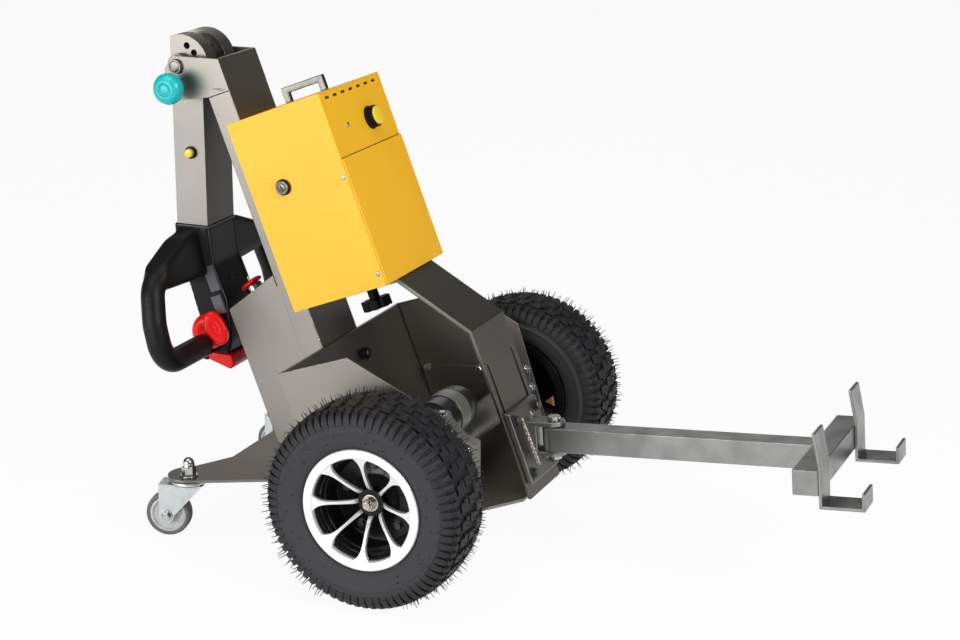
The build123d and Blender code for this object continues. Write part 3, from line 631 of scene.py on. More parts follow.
class Piece:
    """A mesh that grows by bmesh operators, in millimetres, into one dressed object."""

    def __init__(self, name: str, *finishes: Finish) -> None:
        """Starts an empty mesh.

        Args:
            name: The piece's name.
            finishes: Its finishes, in the order of their slots.
        """
        self.name = name
        self.finishes = finishes
        self.bm = bmesh.new()

    def grow(self, part: bmesh.types.BMesh, place: Matrix, slot: int = 0) -> None:
        """Joins a finished part to the piece.

        Args:
            part: The part, which is used up.
            place: Where it goes.
            slot: Which of the piece's finishes it takes.
        """
        bmesh.ops.transform(part, matrix=place, verts=part.verts)
        for face in part.faces:
            face.material_index = slot
        carrier = bpy.data.meshes.new("carrier")
        part.to_mesh(carrier)
        part.free()
        self.bm.from_mesh(carrier)
        bpy.data.meshes.remove(carrier)

    def turned(self, line: Line, steps: int, place: Matrix, slot: int = 0) -> None:
        """Spins a line about the piece's Z.

        Args:
            line: Height and radius of each point.
            steps: Steps in the full turn.
            place: Where it goes.
            slot: Which finish.
        """
        part = bmesh.new()
        verts = [part.verts.new((radius, 0, height)) for height, radius in line]
        edges = [part.edges.new(pair) for pair in zip(verts, verts[1:])]
        bmesh.ops.spin(
            part, geom=verts + edges, cent=(0, 0, 0), axis=(0, 0, 1), angle=math.tau, steps=steps,
            use_merge=True,
        )
        bmesh.ops.remove_doubles(part, verts=part.verts, dist=1e-4)
        bmesh.ops.recalc_face_normals(part, faces=part.faces)
        self.grow(part, place, slot)

    def cone(
        self, low: float, high: float, depth: float, place: Matrix, sides: int = 20, slot: int = 0
    ) -> None:
        """Adds a straight or tapered bar along Z from the origin.

        Args:
            low: Radius at the origin.
            high: Radius at the end.
            depth: Length.
            place: Where it goes.
            sides: Its sides.
            slot: Which finish.
        """
        part = bmesh.new()
        lift = moved(0, 0, depth / 2)
        bmesh.ops.create_cone(
            part, cap_ends=True, segments=sides, radius1=low, radius2=high, depth=depth, matrix=lift
        )
        self.grow(part, place, slot)

    def block(self, size: Point, place: Matrix, slot: int = 0) -> None:
        """Adds a box about the origin.

        Args:
            size: Its three sides.
            place: Where it goes.
            slot: Which finish.
        """
        part = bmesh.new()
        bmesh.ops.create_cube(part, size=1.0, matrix=Matrix.Diagonal((*size, 1.0)))
        self.grow(part, place, slot)

    def bolt(self, point: Sequence[float], axis: Sequence[float], radius: float, slot: int = 0) -> None:
        """Adds a washer and a hexagon head with a chamfered top, turned its own way.

        Args:
            point: Its seat.
            axis: The way it points.
            radius: Half its width over corners.
            slot: Which finish.
        """
        washer, head, chamfer = 0.25 * radius, 0.6 * radius, 0.14 * radius
        seat = facing(point, axis, 360.0 * math.sin(sum(point)))
        self.cone(1.3 * radius, 1.25 * radius, washer, seat, slot=slot)
        seat = seat @ moved(0, 0, washer)
        self.cone(radius, radius, head, seat, HEXAGON, slot)
        self.cone(0.96 * radius, 0.8 * radius, chamfer, seat @ moved(0, 0, head), HEXAGON, slot)

    def button(self, point: Sequence[float], axis: Sequence[float], radius: float, slot: int = 0) -> None:
        """Adds a domed screw head with a hollow in it.

        Args:
            point: Its seat.
            axis: The way it points.
            radius: Radius of the head.
            slot: Which finish.
        """
        dome = ((0.0, 1.0), (0.22, 0.98), (0.42, 0.84), (0.55, 0.6), (0.55, 0.42), (0.3, 0.38), (0.3, 0.0))
        line = [(height * radius, share * radius) for height, share in dome]
        self.turned(line, 18, facing(point, axis), slot)

    def bead(self, start: Sequence[float], end: Sequence[float], radius: float) -> None:
        """Adds a weld bead of overlapping drops.

        Args:
            start: One end of the weld.
            end: The other end.
            radius: Half its width.
        """
        first, run = Vector(start), Vector(end) - Vector(start)
        drops = max(2, int(run.length / (radius * 0.8)))
        for drop in range(drops + 1):
            part = bmesh.new()
            swell = radius * (0.9 + 0.14 * math.sin(2.1 * drop))
            bmesh.ops.create_icosphere(part, subdivisions=2, radius=swell)
            self.grow(part, Matrix.Translation(first + run * (drop / drops)))

    def finish(
        self, body: Body, *nodes: str, bevel: float = 0.0, sharp: float = PIECE_SHARP
    ) -> bpy.types.Object:
        """Turns the mesh into an object that rides on a body.

        Args:
            body: The body that carries it.
            nodes: CAD nodes that it stands for.
            bevel: Width of its rounded edges.
            sharp: Angle in degrees past which an edge stays sharp.

        Returns:
            The finished object.
        """
        bmesh.ops.transform(self.bm, matrix=TO_ROW, verts=self.bm.verts)
        mesh = bpy.data.meshes.new(self.name)
        self.bm.to_mesh(mesh)
        self.bm.free()
        piece = link(self.name, mesh, self.finishes, sharp)
        if bevel:
            soften(piece, bevel * MM)
        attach(piece, body.value)
        if nodes:
            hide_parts(*nodes)
        LOG.info("%s: %d faces on %s", self.name, len(mesh.polygons), body.value)
        return piece


def link(name: str, mesh: bpy.types.Mesh, finishes: Sequence[Finish], sharp: float) -> bpy.types.Object:
    """Puts a mesh in the scene, smooth but for its sharp edges.

    Args:
        name: The object's name.
        mesh: Its mesh.
        finishes: Its finishes.
        sharp: Angle in degrees past which an edge stays sharp.

    Returns:
        The object.
    """
    for finish in finishes:
        mesh.materials.append(finish.material())
    mesh.polygons.foreach_set("use_smooth", [True] * len(mesh.polygons))
    mesh.set_sharp_from_angle(angle=math.radians(sharp))
    piece = bpy.data.objects.new(name, mesh)
    bpy.context.scene.collection.objects.link(piece)
    return piece


def soften(piece: bpy.types.Object, width: float) -> None:
    """Rounds a piece's edges with a Bevel.

    Args:
        piece: The object.
        width: Width in metres.
    """
    rounding = piece.modifiers.new("rounded_edges", "BEVEL")
    rounding.width = width
    rounding.segments = ROUNDING_STEPS
    rounding.limit_method = "ANGLE"
    rounding.angle_limit = math.radians(PIECE_ROUNDED)
    rounding.harden_normals = True


def copied(node: str, merge: float = 0.00001, flat: float = 0.6) -> bmesh.types.BMesh:
    """Copies a CAD node's mesh and joins its loose triangles into flat faces.

    Args:
        node: The CAD node.
        merge: Distance under which points join, in metres.
        flat: Angle under which faces join, in degrees.

    Returns:
        The copy.
    """
    bm = bmesh.new()
    bm.from_mesh(frame["nodes"][node].data)
    bmesh.ops.remove_doubles(bm, verts=bm.verts, dist=merge)
    bmesh.ops.dissolve_limit(bm, angle_limit=math.radians(flat), verts=bm.verts, edges=bm.edges)
    return bm


def rounded_copy(node: str, finish: Finish, width: float) -> bpy.types.Object:
    """Stands a copy with rounded edges in for a CAD node.

    Args:
        node: The CAD node.
        finish: The copy's finish.
        width: Width of the rounding in millimetres.

    Returns:
        The copy.
    """
    bm = copied(node)
    limit = math.radians(COPY_ROUNDED)
    edges = [edge for edge in bm.edges if len(edge.link_faces) == 2 and edge.calc_face_angle() > limit]
    bmesh.ops.bevel(
        bm, geom=edges, offset=width * MM, offset_type="OFFSET", segments=ROUNDING_STEPS, profile=0.5,
        affect="EDGES", clamp_overlap=True, material=-1,
    )
    mesh = bpy.data.meshes.new(node + "_rounded")
    bm.to_mesh(mesh)
    bm.free()
    piece = link(node + "_rounded", mesh, (finish,), COPY_SHARP)
    even = piece.modifiers.new("even_faces", "WEIGHTED_NORMAL")
    even.keep_sharp = True
    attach(piece, frame["nodes"][node]["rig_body"])
    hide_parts(node)
    LOG.info("%s: %d faces", piece.name, len(mesh.polygons))
    return piece


def repaint(piece: bpy.types.Object, finish: Finish, axis: Sequence[float], alike: float = 0.985) -> None:
    """Gives the faces that look one way another finish; here that is a darker copy of the paint, which paints
    shade on them.

    Args:
        piece: The piece.
        finish: The finish of those faces.
        axis: The way they look.
        alike: How close to that way, as a cosine.
    """
    slot = len(piece.data.materials)
    piece.data.materials.append(finish.material())
    for face in piece.data.polygons:
        if face.normal.dot(Vector(axis)) > alike:
            face.material_index = slot


@dataclass
class SheetWork:
    """The folded and welded metal, with its edges rounded.

    Attributes:
        fine: Rounding of thin sheet.
        thick: Rounding of box section and plate.
        fill: Width and thickness of a filled seam.
        back: Seam between mast and housing, out from the mast's front.
        ends: Ends of that seam along the mast.
        face: Distance of the filled seams from the machine's middle.
        head: Seam under the mast's head: out, and along the mast.
        across: Width of that seam.
        corner: Middle of the line in the bulkhead's left corner.
        corner_size: Its sides.
        strip: Middle of the strip inside the left side plate.
        strip_size: Its sides.
        rise: Its slope in degrees.
    """

    fine: float = 0.9
    thick: float = 1.6
    fill: tuple[float, float] = (4.6, 0.9)
    back: float = -42.15
    ends: tuple[float, float] = (-474.0, -132.0)
    face: float = 63.2
    head: tuple[float, float] = (-0.3, 196.15)
    across: float = 125.0
    corner: Point = (-162.0, 218.4, 210.6)
    corner_size: Point = (2.0, 1.8, 224.0)
    strip: Point = (-51.0, 218.7, 205.0)
    strip_size: Point = (196.0, 1.8, 34.0)
    rise: float = 5.56

    def build(self) -> None:
        """Rounds every sheet node, and dresses the two nodes that stay as they are."""
        table = (
            (FRAME_PAINT, self.fine, "base_plate rear_bulkhead side_plate_right side_plate_left"),
            # The front strap takes the darker copy of the frame paint, as painted shade
            (STRAP_PAINTED_SHADE, self.fine, "front_strap"),
            (FRAME_PAINT, self.thick, "mast mast_head rear_housing axle_flange_right axle_flange_left"),
            (BAND, self.thick, "drive_unit"),
            (ARM_STEEL, self.thick, "arm_tube cross_beam"),
            (ARM_STEEL, self.fine, "hook_right hook_left"),
            (YELLOW, self.thick, "battery_case battery_cover"),
            (ZINC, self.fine, "caster_fork_right caster_fork_left"),
            (SATIN_STEEL, self.thick, "box_handle"),
            (BRIGHT, self.fine, "hitch_pin"),
            (BLACK, self.thick, "star_knob"),
        )
        for finish, width, names in table:
            for node in names.split():
                rounded_copy(node, finish, width)
        # The tiller tube's front faces take the near black copy of the frame paint, as painted shade
        repaint(rounded_copy("tiller_tube", FRAME_PAINT, self.thick), TUBE_FRONT_PAINTED_SHADE, FRONT)
        # The hitch plate is bare steel but for its painted front; that front takes the darker copy of the
        # frame paint, as painted shade
        repaint(rounded_copy("hitch_plate", ARM_STEEL, self.thick), STRAP_PAINTED_SHADE, LEAN_OUT)
        self.seams()
        for finish, node in ((BLACK, "battery_pack"), (SATIN_STEEL, "pivot_bolt")):
            materials = frame["nodes"][node].data.materials
            materials.clear()
            materials.append(finish.material())

    def seams(self) -> None:
        """Fills the mast's seams, draws the bulkhead's corners and sets the strips in the side plates."""
        filled = Piece("housing_seams", FRAME_PAINT)
        corners = Piece("bulkhead_corners", BLACK_STEEL)
        strips = Piece("side_strips", FRAME_PAINT)
        wide, thin = self.fill
        low, high = self.ends
        for side in Side:
            middle = lean(self.back, side.value * self.face, (low + high) / 2)
            filled.block((wide, thin, high - low), Matrix.Translation(middle) @ LEANING)
            corners.block(self.corner_size, moved(*side.at(*self.corner)) @ LEANING)
            strips.block(self.strip_size, moved(*side.at(*self.strip)) @ about("Y", -self.rise))
        out, along = self.head
        filled.block((thin, self.across, wide), moved(*lean(out, 0.0, along)) @ LEANING)
        filled.finish(Body.CHASSIS)
        corners.finish(Body.CHASSIS)
        strips.finish(Body.CHASSIS, bevel=0.5)


@dataclass
class DriveWheel:
    """A turf tyre on a dished, thin-spoked rim.

    Attributes:
        side: The side of the machine.
        track: Distance of its middle from the machine's middle.
        steps: Steps in the tyre's turn, three to a shoulder lug.
        lug: Height of the tread blocks.
        shoulder: Radius where the tread starts.
        crown: Radius where the shoulder's grooves are widest.
        lanes: Edges of shoulder, groove, outer blocks, inner blocks and middle rib.
        root: Radius from which the blocks spread.
        hair_rows: Height, radius, count and length of each row of hairs.
        bare: Under this height of a spoke, where the tyre meets the floor, no hair grows.
        ring: Radius of the bright ring's inside.
        spokes: Number of spokes.
        studs: Number of studs behind them.
        seed: Seed of its moulding hairs.
    """

    side: Side
    track: float = 307.0
    steps: int = 216
    lug: float = 5.4
    shoulder: float = 137.5
    crown: float = 155.0
    lanes: tuple[float, ...] = (39.0, 34.0, 24.0, 13.0, 9.0)
    root: float = 118.0
    hair_rows: tuple[tuple[float, float, int, float], ...] = (
        (52.0, 155.0, 170, 11.0), (-52.0, 155.0, 170, 11.0), (22.0, 163.5, 90, 10.0),
        (-22.0, 163.5, 90, 10.0), (0.0, 164.5, 72, 9.0), (60.8, 122.0, 14, 3.5), (59.0, 113.0, 12, 3.0),
        (61.0, 134.0, 22, 4.0),
    )
    bare: float = -0.91
    ring: float = 83.0
    spokes: int = 8
    studs: int = 5
    seed: int = 5

    @property
    def place(self) -> Matrix:
        """The wheel's own frame, Z out of the machine."""
        return facing(self.side.at(0, self.track, AXLE_HIGH), self.side.axis)

    def build(self) -> None:
        """Makes tyre, hairs, rim and hub."""
        self.tyre()
        self.hairs()
        self.rim()
        self.hub()

    def carcass(self) -> list[tuple[float, float]]:
        """The tyre's section.

        Returns:
            Height over the wheel's middle and radius of each point, from bead to bead.
        """
        half = (
            (44.0, 84.0), (45.4, 96.4), (50.5, 101.0), (56.5, 109.0), (59.8, 119.0), (60.9, 127.0),
            (61.7, 128.2), (60.9, 129.4), (60.6, 137.0), (58.6, 144.0), (54.0, 150.4), (47.0, 155.0),
            (39.0, 157.0), (34.0, 157.9), (24.0, 158.9), (13.0, 159.4), (9.0, 159.5),
        )
        return mirrored(half)

    def is_lug(self, height: float, radius: float, turn: int) -> bool:
        """Tells whether a face of the section carries a tread block.

        Args:
            height: The face's height over the wheel's middle.
            radius: Its radius.
            turn: Its step round the wheel.

        Returns:
            True for a block.
        """
        side = int(height > 0)
        reach = abs(height)
        shoulder, groove, outer, inner, rib = self.lanes
        if radius < self.shoulder or shoulder >= reach > groove or inner >= reach > rib:
            return False
        if reach > shoulder:
            return (turn + side) % 3 != 0
        if reach > inner:
            phase = (turn + 3 * side) % 6
            return phase < 3 or (phase == 3 and reach <= outer)
        return (turn + 2) % 6 < 3

    def tyre(self) -> None:
        """Spins the section and raises the tread blocks from its faces."""
        piece = Piece(f"tyre_tread_{self.side.word}", RUBBER, TREAD_PAINTED_SHADE)
        piece.turned(self.carcass(), self.steps, Matrix.Identity(4))
        step = math.tau / self.steps
        chosen = []
        for face in piece.bm.faces:
            middle = face.calc_center_median()
            radius = math.hypot(middle.x, middle.y)
            # Faces past the shoulder take the darker tread rubber, as painted shade
            face.material_index = int(radius > self.shoulder)
            turn = int((math.atan2(middle.y, middle.x) % math.tau) / step)
            if self.is_lug(middle.z, radius, turn):
                chosen.append(face)
        for corner in bmesh.ops.extrude_face_region(piece.bm, geom=chosen)["geom"]:
            if isinstance(corner, bmesh.types.BMVert):
                self.raise_lug(corner, step)
        bmesh.ops.transform(piece.bm, matrix=self.place, verts=piece.bm.verts)
        piece.finish(self.side.wheel, f"tyre_{self.side.word}", bevel=0.7)

    def raise_lug(self, vert: bmesh.types.BMVert, step: float) -> None:
        """Lifts one corner of a tread block, and closes the shoulder's grooves to a V.

        Args:
            vert: The corner.
            step: Angle of one step round the tyre.
        """
        x, y, height = vert.co
        radius = math.hypot(x, y)
        share = min(max((radius - self.shoulder) / (self.crown - self.shoulder), 0.0), 1.0)
        spread, sideways, least = (radius - self.root) / radius, 0.45, 0.35
        out = Vector((x * spread, y * spread, sideways * height)).normalized()
        spot = vert.co + out * self.lug * (least + (1.0 - least) * share)
        if abs(height) > self.lanes[0] + 0.5:
            turn = round((math.atan2(y, x) % math.tau) / step)
            phase = (turn + int(height > 0)) % 3
            nudge = {0: 0.5, 1: -0.5}.get(phase, 0.0) * step * (1.0 - 1.5 * share)
            spot = Matrix.Rotation(nudge, 4, "Z") @ spot
        vert.co = spot

    def hairs(self) -> None:
        """Adds the thin moulding hairs on the tread's edges and sidewall."""
        piece = Piece(f"tyre_hairs_{self.side.word}", HAIR)
        draw = random.Random(self.seed + self.side.value)
        thick, tip, sunk, droop = 0.95, 0.4, 2.0, 0.6
        half_width = 60.0
        for height, radius, count, length in self.hair_rows:
            outward, sideways = 0.1, 1.0
            if radius > self.shoulder:
                outward, sideways = 1.0, 0.8 if abs(height) > self.lanes[1] else 0.2
            for hair in range(count):
                angle = math.tau * (hair + draw.uniform(-0.3, 0.3)) / count
                tall = length * draw.uniform(0.6, 1.25)
                bent = Vector((draw.uniform(-0.5, 0.5), draw.uniform(-0.5, 0.5), draw.uniform(-0.3, 0.3)))
                spoke = Vector((math.cos(angle), math.sin(angle), 0))
                if (self.place.to_3x3() @ spoke).z < self.bare:
                    continue
                out = (spoke * outward + Vector((0, 0, height / half_width * sideways))).normalized()
                foot = spoke * radius + Vector((0, 0, height)) - out
                piece.cone(thick, tip, tall + sunk, self.place @ facing(foot, out + droop * bent), 4)
        piece.finish(self.side.wheel)

    def rim(self) -> None:
        """Spins the ring, barrel and inner disc, and sets the spokes and studs."""
        piece = Piece(f"rim_dressed_{self.side.word}", ALLOY, GLOSS_BLACK, BLACK_STEEL)
        edge = self.ring
        ring = (
            (45.8, 97.4), (51.6, 97.4), (53.0, 96.2), (53.0, edge + 1.2), (51.8, edge), (45.0, edge - 0.6),
        )
        barrel = (
            (45.0, edge - 0.6), (40.0, 79.0), (34.0, 78.2), (32.5, 76.6), (21.0, 76.2), (19.5, 74.6),
            (6.0, 74.2), (-4.0, 73.0), (-10.0, 69.0), (-11.0, 42.0), (-8.0, 37.0), (-2.0, 30.0), (2.0, 23.5),
            (4.0, 22.2), (5.0, 21.0), (5.0, 0.0),
        )
        inboard = (
            (-13.0, 0.0), (-13.0, 72.0), (-18.0, 76.0), (-40.0, 77.0), (-45.0, edge), (-53.0, edge),
            (-53.0, 97.0), (-46.0, 97.2), (-45.8, 80.2), (45.8, 80.2), (45.8, 97.4),
        )
        for line, slot in ((ring, 0), (barrel, 1), (inboard, 1)):
            piece.turned(line, 96, self.place, slot)
        for spoke in range(self.spokes):
            self.spoke(piece, 360.0 * spoke / self.spokes)
        circle, disc = 54.0, -11.0
        for stud in range(self.studs):
            turn = about("Z", 360.0 * (stud + 0.32) / self.studs)
            piece.bolt(self.place @ turn @ Vector((circle, 0, disc)), self.side.axis, 6.5, 2)
        piece.finish(self.side.wheel, f"rim_{self.side.word}", bevel=0.5)

    def spoke(self, piece: Piece, turn: float) -> None:
        """Bends one bar into a dished spoke with flared ends.

        Args:
            piece: The rim.
            turn: The spoke's angle in degrees.
        """
        inner, outer = 20.0, self.ring + 2.0
        thin, flare, foot = 4.4, 30.0, 2.6
        low, dish, deep = 12.0, 40.0, 7.0
        part = bmesh.new()
        bmesh.ops.create_cube(part, size=1.0)
        runs = [edge for edge in part.edges if abs(edge.verts[0].co.x - edge.verts[1].co.x) > 0.5]
        bmesh.ops.subdivide_edges(part, edges=runs, cuts=13, use_grid_fill=True)
        for vert in part.verts:
            share = min(max(vert.co.x + 0.5, 0.0), 1.0)
            width = thin + flare * share**8 + foot * (1 - share) ** 4
            height = low + dish * share**0.62 + deep * (vert.co.z - 0.5)
            vert.co = Vector((inner + (outer - inner) * share, vert.co.y * width, height))
        piece.grow(part, self.place @ about("Z", turn))

    def hub(self) -> None:
        """Adds the hub's disc, washer, locking nut and axle."""
        piece = Piece(f"hub_nut_{self.side.word}", NUT_STEEL, BLACK)
        place = self.place
        disc = ((3.0, 22.6), (13.0, 22.6), (14.6, 21.4), (14.6, 0.0))
        washer = ((14.6, 13.5), (16.2, 13.5), (16.8, 12.8), (16.8, 0.0))
        collar = ((25.2, 8.8), (27.4, 8.4), (28.0, 7.6), (28.0, 6.2), (26.2, 6.0))
        stub = ((26.0, 6.2), (30.8, 6.2), (31.6, 5.4), (31.6, 0.0))
        axle = ((-75.0, 0.0), (-75.0, 9.8), (-12.0, 9.8))
        piece.turned(disc, 48, place, 1)
        piece.turned(washer, 40, place)
        piece.cone(11.0, 11.0, 7.6, place @ moved(0, 0, 16.8), HEXAGON)
        piece.cone(10.7, 9.2, 1.0, place @ moved(0, 0, 24.4), HEXAGON)
        piece.turned(collar, 32, place)
        piece.turned(stub, 28, place)
        piece.turned(axle, 28, place)
        piece.finish(self.side.wheel, f"axle_{self.side.word}", bevel=0.5)


@dataclass
class Caster:
    """A swivel caster's wheel and its domed nut.

    Attributes:
        side: The side of the machine.
        stem: The stem's place, X and distance from the middle.
        yaw: Turn of the fork in degrees.
        floor: Height of the base plate's top.
        cheek: Distance of the fork's cheeks from the wheel's middle.
    """

    side: Side
    stem: tuple[float, float] = (-402.0, 182.0)
    yaw: float = 14.0
    floor: float = 104.3
    cheek: float = 18.0

    @property
    def place(self) -> Matrix:
        """Finds the wheel's own frame.

        Returns:
            The placing, Z along the axle.
        """
        low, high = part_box(f"caster_tyre_{self.side.word}")
        middle = (low + high) / (2 * MM)
        turn = -self.side.value * math.radians(self.yaw)
        axle = (-math.sin(turn), math.cos(turn), 0)
        return facing((middle.x + SHIFT_X / MM, middle.y, middle.z), axle)

    def build(self) -> None:
        """Makes tyre, core, bolt heads and domed nut."""
        word = self.side.word
        rubber = (
            (9.6, 30.2), (11.2, 30.8), (12.0, 32.6), (11.8, 34.8), (10.6, 36.6), (8.0, 37.5), (4.0, 37.65),
        )
        disc = (
            (10.4, 30.4), (10.8, 29.4), (10.8, 26.6), (8.6, 25.4), (7.6, 22.0), (7.6, 16.0), (9.6, 14.6),
            (10.6, 13.4), (10.6, 8.4), (9.6, 7.6), (9.6, 5.2),
        )
        table = (
            ("caster_tread_", CASTER_RUBBER, rubber, "caster_tyre_"),
            ("caster_hub_", CORE, disc, "caster_core_"),
        )
        for name, finish, half, node in table:
            piece = Piece(name + word, finish)
            piece.turned(mirrored(half) + [half[0]], 64, self.place)
            piece.finish(self.side.caster, node + word)
        heads = Piece(f"caster_bolt_{word}", BRIGHT)
        for way in (-1, 1):
            point = self.place @ Vector((0, 0, self.cheek * way))
            heads.bolt(point, self.place.to_3x3() @ Vector((0, 0, way)), 8.0)
        heads.finish(self.side.fork, bevel=0.4)
        self.acorn()

    def acorn(self) -> None:
        """Stacks washer, hexagon and dome, and the race and collar under the plate."""
        piece = Piece(f"caster_nut_{self.side.word}", BRIGHT, ZINC)
        place = facing(self.side.at(*self.stem, self.floor), UP)
        washer = ((0.0, 0.0), (0.0, 15.5), (1.8, 15.5), (2.3, 14.8), (2.3, 0.0))
        quarter = [math.pi / 2 * step / 9 for step in range(10)]
        dome = [(21.5 + 10.6 * math.sin(angle), 9.7 * math.cos(angle)) for angle in quarter]
        race = ((-5.6, 0.0), (-5.6, 29.6), (-6.4, 30.0), (-9.4, 30.0), (-11.4, 27.0), (-11.6, 0.0))
        collar = ((-11.4, 6.0), (-18.0, 6.0), (-18.3, 10.0), (-21.3, 10.0), (-21.6, 9.0), (-21.6, 0.0))
        piece.turned(washer, 36, place)
        piece.cone(12.0, 12.0, 14.4, place @ moved(0, 0, 2.3), HEXAGON)
        piece.turned([(16.2, 10.8), (17.4, 10.0)] + dome, 36, place)
        piece.turned(race, 48, place, 1)
        piece.turned(collar, 28, place)
        piece.finish(Body.CHASSIS, f"caster_stem_{self.side.word}", bevel=0.5)


@dataclass
class BatteryBox:
    """The small fittings of the yellow box.

    Attributes:
        front: Distance of the upper front from the mast.
        half: Half the box's width.
        dial: Y and place along the mast of the dial.
        lock: Distance out and along of the key lock.
        side_screws: Distance out and along of the screws in each side.
        front_screw: Y and place along of the screw in the front.
        seam: Place along of the cover's seam.
        lip: Place along of the folded lip.
        ribs: Ribs round the dial.
    """

    front: float = 178.0
    half: float = 109.5
    dial: tuple[float, float] = (30.0, 79.0)
    lock: tuple[float, float] = (62.0, 22.0)
    side_screws: Line = ((171.0, 7.0), (171.0, -155.0))
    front_screw: tuple[float, float] = (-52.0, 82.0)
    seam: float = 36.0
    lip: float = 143.5
    ribs: int = 30

    def build(self) -> None:
        """Makes dial, lock, screws, seam and lip."""
        self.make_dial()
        self.make_lock()
        screws = Piece("box_screws", BRIGHT)
        for out, along in self.side_screws:
            for side in Side:
                screws.button(lean(out, side.value * self.half, along), side.axis, 4.2)
        screws.button(lean(self.front, *self.front_screw), LEAN_OUT, 4.6)
        screws.finish(Body.CHASSIS)
        across = 2 * self.half
        seam = Piece("cover_seam", BLACK)
        seam.block((1.2, across - 3.0, 1.3), moved(*lean(self.front + 0.2, 0.0, self.seam)) @ LEANING)
        seam.finish(Body.CHASSIS, bevel=0.2)
        lip = Piece("folded_lip", YELLOW)
        lip.block((2.0, across - 1.0, 1.6), moved(*lean(self.front - 0.4, 0.0, self.lip)) @ LEANING)
        lip.finish(Body.CHASSIS, bevel=0.5)

    def make_dial(self) -> None:
        """Makes the ribbed dial with its yellow cap."""
        piece = Piece("dial_knob", BLACK, YELLOW_CAP)
        place = facing(lean(self.front + GAP, *self.dial), LEAN_OUT)
        flange = ((0.0, 0.0), (0.0, 19.6), (1.6, 19.6), (2.4, 18.6), (2.4, 0.0))
        barrel = ((2.4, 17.2), (12.5, 16.6), (13.6, 15.8), (13.6, 14.6))
        cap = ((13.2, 15.2), (15.4, 15.2), (16.6, 14.2), (17.0, 11.0), (17.1, 0.0))
        piece.turned(flange, 48, place)
        piece.turned(barrel, 60, place)
        for rib in range(self.ribs):
            piece.block((2.2, 2.0, 9.8), place @ about("Z", 360.0 * rib / self.ribs) @ moved(17.0, 0, 7.6))
        piece.turned(cap, 48, place, 1)
        piece.finish(Body.CHASSIS, "front_dial", bevel=0.4)

    def make_lock(self) -> None:
        """Makes the key lock with a steel collar and a key slot."""
        piece = Piece("key_switch", SATIN_STEEL, BLACK)
        out, along = self.lock
        place = facing(lean(out, -self.half - GAP, along), NEAR)
        bezel = ((0.0, 0.0), (0.0, 13.2), (3.0, 13.2), (4.0, 12.4), (4.0, 10.8))
        collar = ((3.4, 11.2), (6.6, 11.0), (7.6, 10.0), (7.6, 8.0), (6.6, 7.6))
        barrel = ((6.4, 8.0), (6.4, 6.8), (7.4, 6.6), (7.8, 5.6), (7.8, 0.0))
        piece.turned(bezel, 40, place, 1)
        piece.turned(collar, 40, place)
        piece.turned(barrel, 36, place)
        piece.block((1.8, 9.0, 0.8), place @ Matrix.Rotation(0.5, 4, "Z") @ moved(0, 0, 7.8), 1)
        piece.finish(Body.CHASSIS, "key_lock", bevel=0.3)


@dataclass
class MastTop:
    """The fold lock and the welds of the mast.

    Attributes:
        face: Distance of the head's cheek from the middle.
        knob: Place of the plunger, X and Z.
        collar: Ends of the black collars, from the middle.
        welds: X and Z of each weld's ends.
    """

    face: float = 63.5
    knob: tuple[float, float] = (-461.4, 735.0)
    collar: tuple[float, float] = (45.3, 57.2)
    welds: tuple[Line, ...] = (((-379.5, 733.5), (-398.0, 733.5)), ((-232.0, 372.0), (-206.0, 305.0)))

    def build(self) -> None:
        """Makes the knob, the bolt heads with their collars, and the weld beads."""
        self.make_knob()
        heads = Piece("pivot_caps", SATIN_STEEL, BLACK_STEEL)
        dome = ((0.0, 12.6), (2.2, 12.6), (4.6, 11.6), (6.0, 9.6), (6.4, 6.0), (6.5, 0.0))
        start, end = self.collar
        wide = end - start
        ring = ((0.4, 19.0), (0.6, 19.6), (wide - 0.6, 19.6), (wide - 0.4, 19.0))
        for side in Side:
            heads.turned(dome, 36, facing(side.at(PIVOT.x, self.face + GAP, PIVOT.z), side.axis))
            heads.turned(ring, 40, facing(side.at(PIVOT.x, start, PIVOT.z), side.axis), 1)
        heads.finish(Body.CHASSIS)
        welds = Piece("mast_welds", WELD)
        for side in Side:
            for weld in self.welds:
                welds.bead(*(side.at(x, self.face + 0.2, z) for x, z in weld), 1.7)
        welds.finish(Body.CHASSIS)

    def make_knob(self) -> None:
        """Makes the plunger's neck and its turquoise bulb."""
        piece = Piece("lock_knob", TEAL, BRIGHT)
        place = facing((self.knob[0], -self.face - GAP, self.knob[1]), NEAR)
        neck = ((0.0, 0.0), (0.0, 9.6), (3.4, 9.6), (4.0, 6.4), (16.0, 6.4))
        bulb = (
            (14.0, 0.0), (14.0, 11.0), (15.4, 13.2), (20.0, 18.2), (26.5, 23.4), (33.0, 25.8), (39.5, 25.6),
            (45.5, 23.0), (49.6, 18.4), (51.2, 14.2), (51.2, 11.4), (50.5, 10.8), (51.4, 10.0), (52.0, 4.4),
            (52.0, 0.0),
        )
        piece.turned(neck, 32, place, 1)
        piece.turned(bulb, 64, place)
        piece.finish(Body.CHASSIS, "plunger_knob", sharp=50.0)


